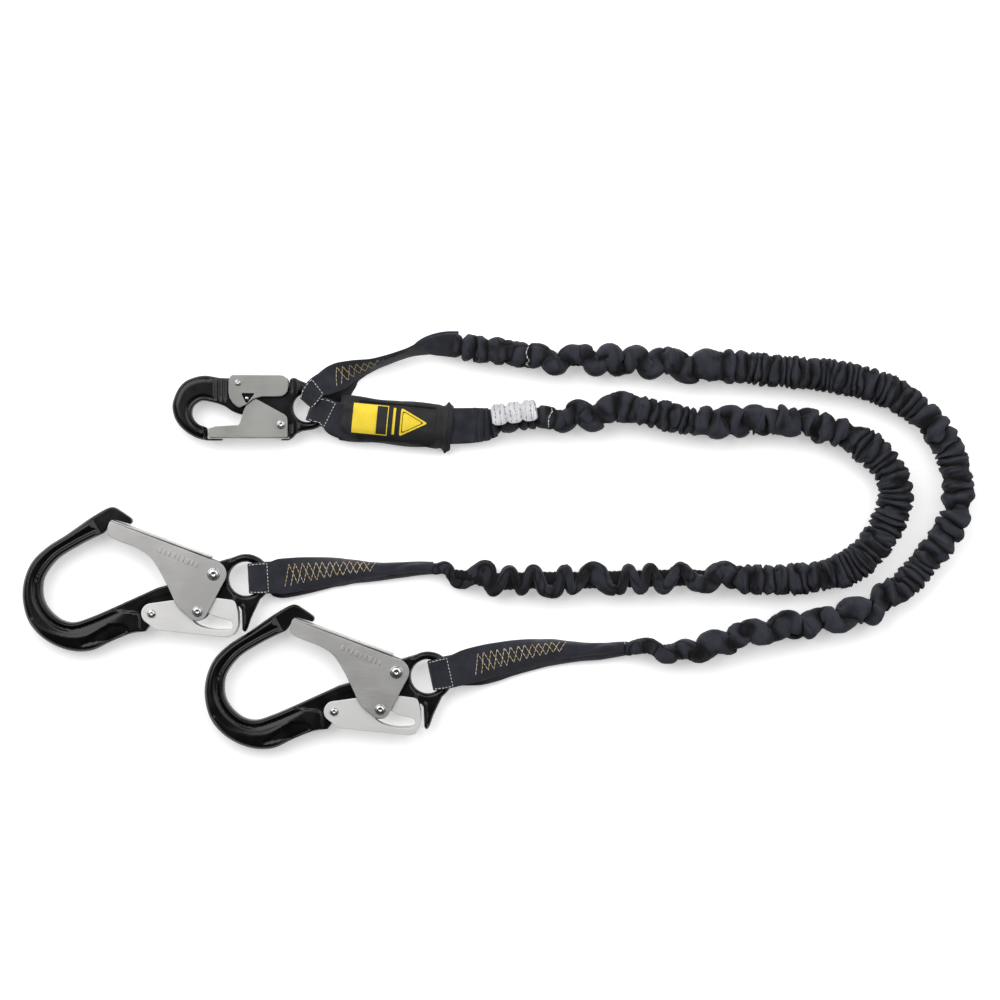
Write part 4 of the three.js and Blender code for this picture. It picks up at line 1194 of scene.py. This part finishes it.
LEG_B_SNAP_LOWER = [
    (-53.5, 3.4, 7.2, 15.4, -18, 0, 0), (-46, 1.4, 8.2, 16.3, -12, 0, 0), (-37, 0.4, 8.8, 16, -9, 0, 0),
    (-26, -1.5, 9, 16, -8, 0, 0),
]
LEG_A_END_UPPER = [
    (206, -202.4, 13.6, 12, 0, 0, 320), (196, -202.2, 12.8, 12, 2, 10, 310),
    (184, -202.6, 12.5, 12.5, 0, 20, 300), (172, -203.4, 12.6, 13, 1, 14, 270),
    (160, -204.2, 12.2, 14, 1, 10, 225), (146, -204.8, 11.4, 15, 3, 8, 180),
    (130, -206.8, 10.8, 15.6, 5, 6, 140), (114, -209.2, 10.2, 16, 7, 4, 105),
    (98, -212.2, 10.2, 16, 8, 2, 75), (84, -215, 11.4, 16, 10, 0, 50), (74, -217.4, 13.6, 16, 12, 0, 25),
    (64.5, -219.5, 16.4, 15.6, 12, 0, 5),
]
LEG_A_END_LOWER = [
    (64.5, -221.8, 8.2, 15.4, 12, -3, 0), (75, -221.2, 6.2, 15.8, 12, -5, -10),
    (88, -218.6, 5.6, 15.4, 10, -6, -30), (102, -214.6, 6.2, 15, 8, -6, -60),
    (118, -211.2, 7.2, 14.6, 6, -6, -95), (134, -208.6, 8.2, 14, 4, -8, -130),
    (150, -207.6, 8.8, 13.2, 1, -12, -180), (162, -207.6, 9, 12.4, 0, -16, -230),
    (174, -207.6, 9, 12, 0, -18, -270), (186, -207.4, 9.4, 11.6, 1, -14, -290),
    (198, -206.6, 10.4, 11.6, 2, 0, -300), (209, -204.6, 12, 11, 4, 0, -310),
]
LEG_B_END_UPPER = [
    (33, -130.4, 13.4, 12, -2, 0, 320), (22, -129.4, 12.8, 12, -2, 10, 310),
    (8, -129.4, 12.6, 12, 3, 18, 300), (-6, -130.6, 12.6, 12.6, 6, 16, 280),
    (-18, -132, 12.4, 13.4, 4, 10, 240), (-32, -132.6, 11.8, 14.4, 1, 8, 195),
    (-46, -133.0, 11.2, 15.2, 1, 8, 155), (-60, -133.8, 10.6, 15.8, 3, 6, 120),
    (-74, -135.2, 10.4, 16, 5, 4, 90), (-86, -136.4, 11.2, 16, 5, 2, 60), (-96, -137.6, 13.2, 16, 4, 0, 30),
    (-104.5, -138.6, 16.2, 16, 3, 0, 5),
]
LEG_B_END_LOWER = [
    (-104.5, -142, 8, 16, 3, -3, 0), (-96, -141.4, 6, 16, 4, -5, -10), (-86, -139.8, 5.6, 15.6, 6, -6, -30),
    (-74, -138, 6.4, 15, 6, -6, -60), (-60, -135.8, 7.6, 14.4, 4, -8, -105),
    (-46, -135.2, 8.4, 13.8, 1, -10, -150), (-32, -135, 8.8, 13, 1, -12, -200),
    (-18, -134.8, 9, 12.4, 3, -16, -240), (-6, -134, 9, 12, 5, -18, -270),
    (8, -133, 9.4, 11.6, 3, -14, -290), (22, -132.4, 10.4, 11.6, 1, 0, -300),
    (37, -131.6, 12, 11, -2, 0, -310),
]


def pad_seam(fold, reach, widths):
    """The open rectangle of white stitches through a loop and its pad, back from the fold in the eye."""
    near, far = (half - 1.5 for _, half in widths)
    return [[(fold - 6, -near), (fold - 14, -far), (fold - reach, -far),
             (fold - reach, far), (fold - 14, far), (fold - 6, near)]]


FOLDS = {"leg_a_end_strap": (2, 62), "leg_b_end_strap": (2, 60)}


def strap(node, hook, heading, loop, pad, widths, upper, lower, zig, seed):
    """A web looped through an eye and sewn back on itself, with a wear pad inside the loop.

    upper and lower are the stations of the layer with the cut end and of the layer that runs on.
    """
    looped = through_eye(EYES[hook], heading, widths, loop)
    web, place, total = ribbon(node + "_web", upper + looped + lower, 1.7, webbing, seed,
                               fold=FOLDS.get(node))
    slim = [(side, half - 0.6) for side, half in widths]
    inner = through_eye(EYES[hook], heading, slim, pad)
    cushion, _, _ = ribbon(node + "_pad", inner, 1.2, pad_webbing, seed)
    carried(web, hook, heading)
    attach(cushion, hook)
    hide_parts(node)
    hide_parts(node.replace("_strap", "_wear_pad"))
    fold = float(lengths(smooth_curve(upper + looped[:5], 1.0)[:, :3])[-1])
    lines = pad_seam(fold, 24 if hook == "snap_hook" else 22, widths)
    white = seam(node + "_pad_seam", place, lines, white_thread, hook, heading, stitch=2.2, radius=0.36)
    if zig:
        seam(node + "_zigzag_seam", place, zigzag(*zig), gold_thread, hook, heading,
                           gap=0.5, radius=0.3)


BIG_WIDTHS = [(0, 13.6), (0, 14.2)]
strap("leg_a_end_strap", "hook_b", 12, BIG_LOOP, BIG_PAD, BIG_WIDTHS, LEG_A_END_UPPER, LEG_A_END_LOWER,
      (138, 58, (-9, -1), (9.5, 7), 13), 31)
strap("leg_b_end_strap", "hook_a", 3, BIG_LOOP, BIG_PAD, BIG_WIDTHS, LEG_B_END_UPPER, LEG_B_END_LOWER,
      (135, 56, (-9.5, -1), (10, 7), 13), 32)
strap("leg_a_snap_strap", "snap_hook", 50, OVER_LOOP, OVER_PAD, [(3.2, 7.6), (4.6, 9.6)], LEG_A_SNAP_UPPER,
      LEG_A_SNAP_LOWER, (115, 60, (-7, -5), (9, 9), 9), 33)
strap("leg_b_snap_strap", "snap_hook", -20, SMALL_LOOP, SMALL_PAD, [(-4.2, 7), (0.7, 12.7)],
      LEG_B_SNAP_UPPER, LEG_B_SNAP_LOWER, None, 34)


# ---------------------------------------------------------------- the shock pack
PACK_TURN = math.radians(-5.5)


def pack_to_frame(points):
    """From the pack's own axes to the lanyard's."""
    points = np.array(points, float)
    points[..., 0], points[..., 1] = turned_by(PACK_TURN, points[..., 0], points[..., 1])
    return points


def pack_top(x, y):
    """Height of the cover's upper face, in the pack's own axes: flat in the middle, soft at its sides."""
    side = 1 - np.clip(np.abs(y) / 21.5, 0, 1) ** 3.2 * 0.42
    ends = 1 - 0.16 * step_up(np.abs(x), 36, 50)
    creases = 0.45 * np.sin(x * 0.11 + y * 0.16 + 0.8) * np.cos(y * 0.13 - x * 0.03)
    creases += 0.3 * np.sin(x * 0.31 - y * 0.24) * step_up(x, 10, 48)
    creases += 0.6 * bell(x, 44.5, 1.8) - 0.7 * bell(x, 41, 1.6)
    return 19.2 * side * ends + creases


def swollen(piece, held, pressure, growth, cap, frames=20):
    """Moves a piece's points as cloth under pressure would, at most cap millimetres. Held points stay."""
    scene = bpy.context.scene
    copy = piece.copy()
    copy.data = piece.data.copy()
    scene.collection.objects.link(copy)
    copy.vertex_groups.new(name="held").add(held, 1.0, "REPLACE")
    cloth = copy.modifiers.new("cloth", "CLOTH")
    cloth.settings.vertex_group_mass = "held"
    cloth.settings.quality = 6
    cloth.settings.use_pressure = True
    cloth.settings.uniform_pressure_force = pressure
    cloth.settings.shrink_min = -growth
    cloth.settings.effector_weights.gravity = 0
    cloth.point_cache.frame_end = frames
    for frame in range(1, frames + 1):
        scene.frame_set(frame)
    result = copy.evaluated_get(bpy.context.evaluated_depsgraph_get()).data
    before = np.array([v.co for v in piece.data.vertices])
    moved = np.array([v.co for v in result.vertices]) - before
    far = np.linalg.norm(moved, axis=1, keepdims=True)
    after = before + moved * np.minimum(1, cap * MM / np.maximum(far, 1e-9))
    after[:, 2] = np.maximum(after[:, 2], 0.4 * MM)
    piece.data.vertices.foreach_set("co", after.ravel())
    piece.data.update()
    scene.frame_set(1)
    bpy.data.objects.remove(copy)


def lying_on(piece, points, above):
    """The points dropped straight down onto a piece, above millimetres clear of it."""
    tree = BVHTree.FromPolygons([v.co for v in piece.data.vertices],
                                [f.vertices for f in piece.data.polygons])
    for point in points.reshape(-1, 3):
        spot = tree.ray_cast(Vector((point[0] * MM, point[1] * MM, 0.06)), Vector((0, 0, -1)))[0]
        point[2] = spot.z / MM + above


def pack_cover():
    """The nylon sleeve: a soft flat tube with turned-in ends, pinched into ears near the far end."""
    around, held_rings = 72, 10
    theta = np.linspace(0, TAU, around + 1)[:-1]
    c, d = np.cos(theta), np.sin(theta)
    rings = []
    outer = np.concatenate([np.linspace(-50.6, -48, 6), np.arange(-47, 48, 1.0), np.linspace(48.5, 50.8, 6)])
    for inset, xs in ((1.5, np.linspace(-40, -50, 6)), (0, outer), (1.5, np.linspace(50.2, 40, 6))):
        for x in xs:
            ear = 2.8 * bell(x, 44.8, 2.2) - bell(x, 40.5, 2.5)
            hem = 0.5 * bell(abs(x), 48.6, 0.8)
            half = 20.6 + 0.3 * math.sin(x * 0.13) + ear - 0.9 * step_up(x, 46.5, 50.5) + hem - inset
            half -= 0.5 * step_up(-x, 44, 50)
            y = half * np.sign(c) * np.abs(c) ** 0.55
            top = pack_top(x, y) + hem - inset
            low = 0.5 + 1.2 * np.abs(y / half) ** 6 + inset
            seam_z = 8.5 + 1.5 * math.sin(x * 0.07)
            z = seam_z + (np.where(d >= 0, top, low) - seam_z) * np.abs(d) ** 0.5
            rings.append(np.stack([np.full(around, x) + 0.5 * np.sin(y * 0.25 + 1), y, z], -1))
    rings = np.array(rings)
    along = rings[:, :, 0].mean(1)
    cover = loft("pack_sleeve", pack_to_frame(rings), along, np.linspace(0, 124, around + 1))
    ends = held_rings * around
    count = len(cover.data.vertices)
    swollen(cover, [*range(ends), *range(count - ends, count)],
            pressure=2.5, growth=0.02, cap=1.6)
    stand_in(cover, "pack_cover", "legs", cover_cloth)
    return cover


def pack_label(cover):
    """The printed panel, lying on the sleeve and following its creases."""
    xs, ys = np.linspace(-43, 36, 100), np.linspace(-14.6, 15.2, 42)
    grid = np.stack(np.meshgrid(xs, ys, indexing="ij"), -1)
    x, y = grid[..., 0], grid[..., 1]
    top = pack_to_frame(np.stack([x, y, 0 * x], -1))
    lying_on(cover, top, 0.22)
    under = top - [0, 0, 0.3]
    n, m = x.shape
    points = np.concatenate([top.reshape(-1, 3), under.reshape(-1, 3)])
    index = np.arange(n * m).reshape(n, m)
    faces = []
    uv = []
    for base, flip in ((0, 1), (n * m, -1)):
        quads = np.stack([index[:-1, :-1], index[1:, :-1], index[1:, 1:], index[:-1, 1:]], -1).reshape(-1, 4)
        quads = quads[:, ::flip]
        faces += (quads + base).tolist()
        uv.append(np.stack([x.ravel()[quads], y.ravel()[quads]], -1).reshape(-1, 2))
    edge = np.concatenate([index[:, 0], index[-1, 1:], index[-2::-1, -1], index[0, -2:0:-1]])
    after = np.roll(edge, -1)
    walls = np.stack([edge, edge + n * m, after + n * m, after], -1)
    faces += walls.tolist()
    both = np.concatenate([np.stack([x.ravel(), y.ravel()], -1)] * 2)
    uv.append(both[walls].reshape(-1, 2))
    label = put_mesh("pack_printed_panel", points, faces, np.concatenate(uv))
    stand_in(label, "pack_label", "legs", printed_panel)


def print_masks(g):
    """Where the yellow ink lies: a block and an outline, a bar, and a rounded triangle with a line in it."""
    x, y = g.cloth()

    def box(left, right, low, high):
        across = g.math("MAXIMUM", g.math("SUBTRACT", left, x), g.math("SUBTRACT", x, right))
        return g.math("MAXIMUM", across, g.math("MAXIMUM", g.math("SUBTRACT", low, y),
                                                g.math("SUBTRACT", y, high)))

    def inked(distance, inner, outer):
        return g.times(g.span(distance, outer - 0.12, outer + 0.12, 1, 0),
                      g.span(distance, inner - 0.12, inner + 0.12, 0, 1))

    sides = []
    for angle, reach in ((64.5, 4.75), (-60.5, 4.7), (180, 5.1)):
        a = math.radians(angle)
        dot = g.plus(g.times(g.math("SUBTRACT", x, 12.3), math.cos(a)),
                     g.times(g.math("SUBTRACT", y, 1.2), math.sin(a)))
        sides.append(g.math("SUBTRACT", dot, reach + 3.0))
    corner = g.node("Math", {0: sides[0], 1: sides[1], 2: 3.2}, operation="SMOOTH_MAX").outputs[0]
    triangle = g.node("Math", {0: corner, 1: sides[2], 2: 3.2}, operation="SMOOTH_MAX").outputs[0]
    block = box(-38.8, -17.8, -12.6, 14.2)
    frame_line = box(-17.8, -7.0, -12.6, 14.2)
    bar = box(-2.6, -0.4, -11.0, 13.0)
    ink = g.math("MAXIMUM", inked(block, -90, 0), inked(frame_line, -0.7, 0))
    ink = g.math("MAXIMUM", ink, inked(bar, -90, 0))
    shape = g.math("SUBTRACT", inked(triangle, -90, 0), inked(triangle, -2.2, -1.5))
    return g.math("MAXIMUM", ink, shape)


def nylon(g, light):
    """Plain-weave nylon: fine threads both ways, a little uneven."""
    x, y = g.cloth()
    weave = g.times(g.wave(x, 0.75), g.wave(y, 0.75))
    patchy = g.noise(70.0, 4.0)
    g.bump(g.plus(weave, g.times(patchy, 1.4)), 0.0002, 0.5)
    base = g.mix(g.span(patchy, 0.35, 0.7), shade(20, 20, 22), light)
    return base, patchy


def cover_material():
    """The black nylon of the pack's sleeve."""
    g = Graph("cover_nylon")
    base, patchy = nylon(g, shade(38, 38, 41))
    return g.finish(Base_Color=base, Roughness=g.span(patchy, 0.3, 0.7, 0.6, 0.75), Specular_IOR_Level=0.35,
                    Sheen_Weight=0.1)


def printed_material():
    """Nylon with the yellow print on it."""
    g = Graph("printed_panel")
    base, patchy = nylon(g, shade(36, 36, 39))
    yellow = g.mix(g.span(patchy, 0.3, 0.7), shade(238, 205, 40), shade(250, 222, 66))
    ink = print_masks(g)
    thin = g.times(ink, g.span(g.noise(900.0, 3.0), 0.28, 0.4, 0.72, 1))
    return g.finish(Base_Color=g.mix(thin, base, yellow), Roughness=0.66, Specular_IOR_Level=0.35,
                    Sheen_Weight=0.1)


def tag_material():
    """White printed satin with rows of faint short marks."""
    g = Graph("tag_satin")
    x, y = g.cloth()
    row = g.span(g.wave(y, 4.6), 0.80, 0.9)
    mark = g.times(row, g.span(g.noise(420.0, 1.0), 0.5, 0.54))
    soiled = g.noise(120.0, 4.0)
    white = g.mix(g.span(soiled, 0.35, 0.75), shade(214, 214, 217), shade(186, 186, 190))
    g.bump(g.plus(g.wave(x, 0.5), g.times(soiled, 3.0)), 0.00008, 0.5)
    return g.finish(Base_Color=g.mix(g.times(mark, 0.8), white, shade(80, 80, 86)), Roughness=0.45,
                    Sheen_Weight=0.2)


cover_cloth = cover_material()
printed_panel = printed_material()
tag_satin = tag_material()
pack_label(pack_cover())
coat(bpy.data.objects["tear_web"], elastic)


# ---------------------------------------------------------------- the link web and the tag
def link_web():
    """The flat web from the pack to the inner leg, puckered into cross ridges."""
    stations = [
        (36, -3.2, 11.5, 16.4, -2, 0, 0), (48, -3.0, 12, 16.4, -3, 0, 6), (60, -2.8, 11.6, 16.2, -3, 0, 10),
        (68, -2.4, 11.5, 16.0, -2, 0, 12), (71, -2.2, 13.4, 15.9, -2, 0, 12),
        (74, -2.1, 11.6, 15.7, -2, 0, 14), (78, -1.8, 14.2, 15.2, -1, 0, 16),
        (80.5, -1.6, 11.8, 15.0, 0, 0, 18), (83.5, -1.3, 14.8, 14.6, 2, 0, 22),
        (86, -1, 12.4, 13.6, 4, 0, 40), (90, -0.6, 13.5, 12, 6, 0, 60),
    ]
    flipped = [(*row[:6], -row[6]) for row in stations]
    web, _, total = ribbon("link_web_band", flipped, 3.2, webbing, 41, 0.2)
    stand_in(web, "link_web", "legs", webbing)


link_web()


def inspection_tag():
    """A folded white tag lying over the gathers of the inner leg, with a scalloped upper edge."""
    turn = math.radians(7.5)
    along, over = np.linspace(-20.5, 20.5, 84), np.linspace(0, 1, 40)
    s, t = np.meshgrid(along, over, indexing="ij")
    scallop = np.abs(np.sin((s + 20.5) / 41 * 3 * math.pi))
    radius = 14.2 + 3.4 * scallop ** 0.5 + 0.6 * np.sin(s * 0.9 + t * 4) * t + 0.35 * np.sin(s * 2.1 - t * 7)
    angle = np.radians(98 - 9 * (1 - scallop) ** 2 - t * (80 + 9 * scallop))
    shell = []
    for grow in (0.18, -0.18):
        out = radius + grow
        shell.append(np.stack([s, out * np.cos(angle), out * np.sin(angle) * 0.92 + 14.6], -1))
    rings = np.concatenate([shell[0], shell[1][:, ::-1]], axis=1)
    x, y = turned_by(turn, rings[..., 0], rings[..., 1])
    rings[..., 0], rings[..., 1] = 107.5 + x, 1.4 + y
    cloth = np.concatenate([over, over[::-1], over[:1]]) * 26
    tag = loft("inspection_tag_cloth", rings, along, cloth)
    stand_in(tag, "inspection_tag", "legs", tag_satin)


inspection_tag()
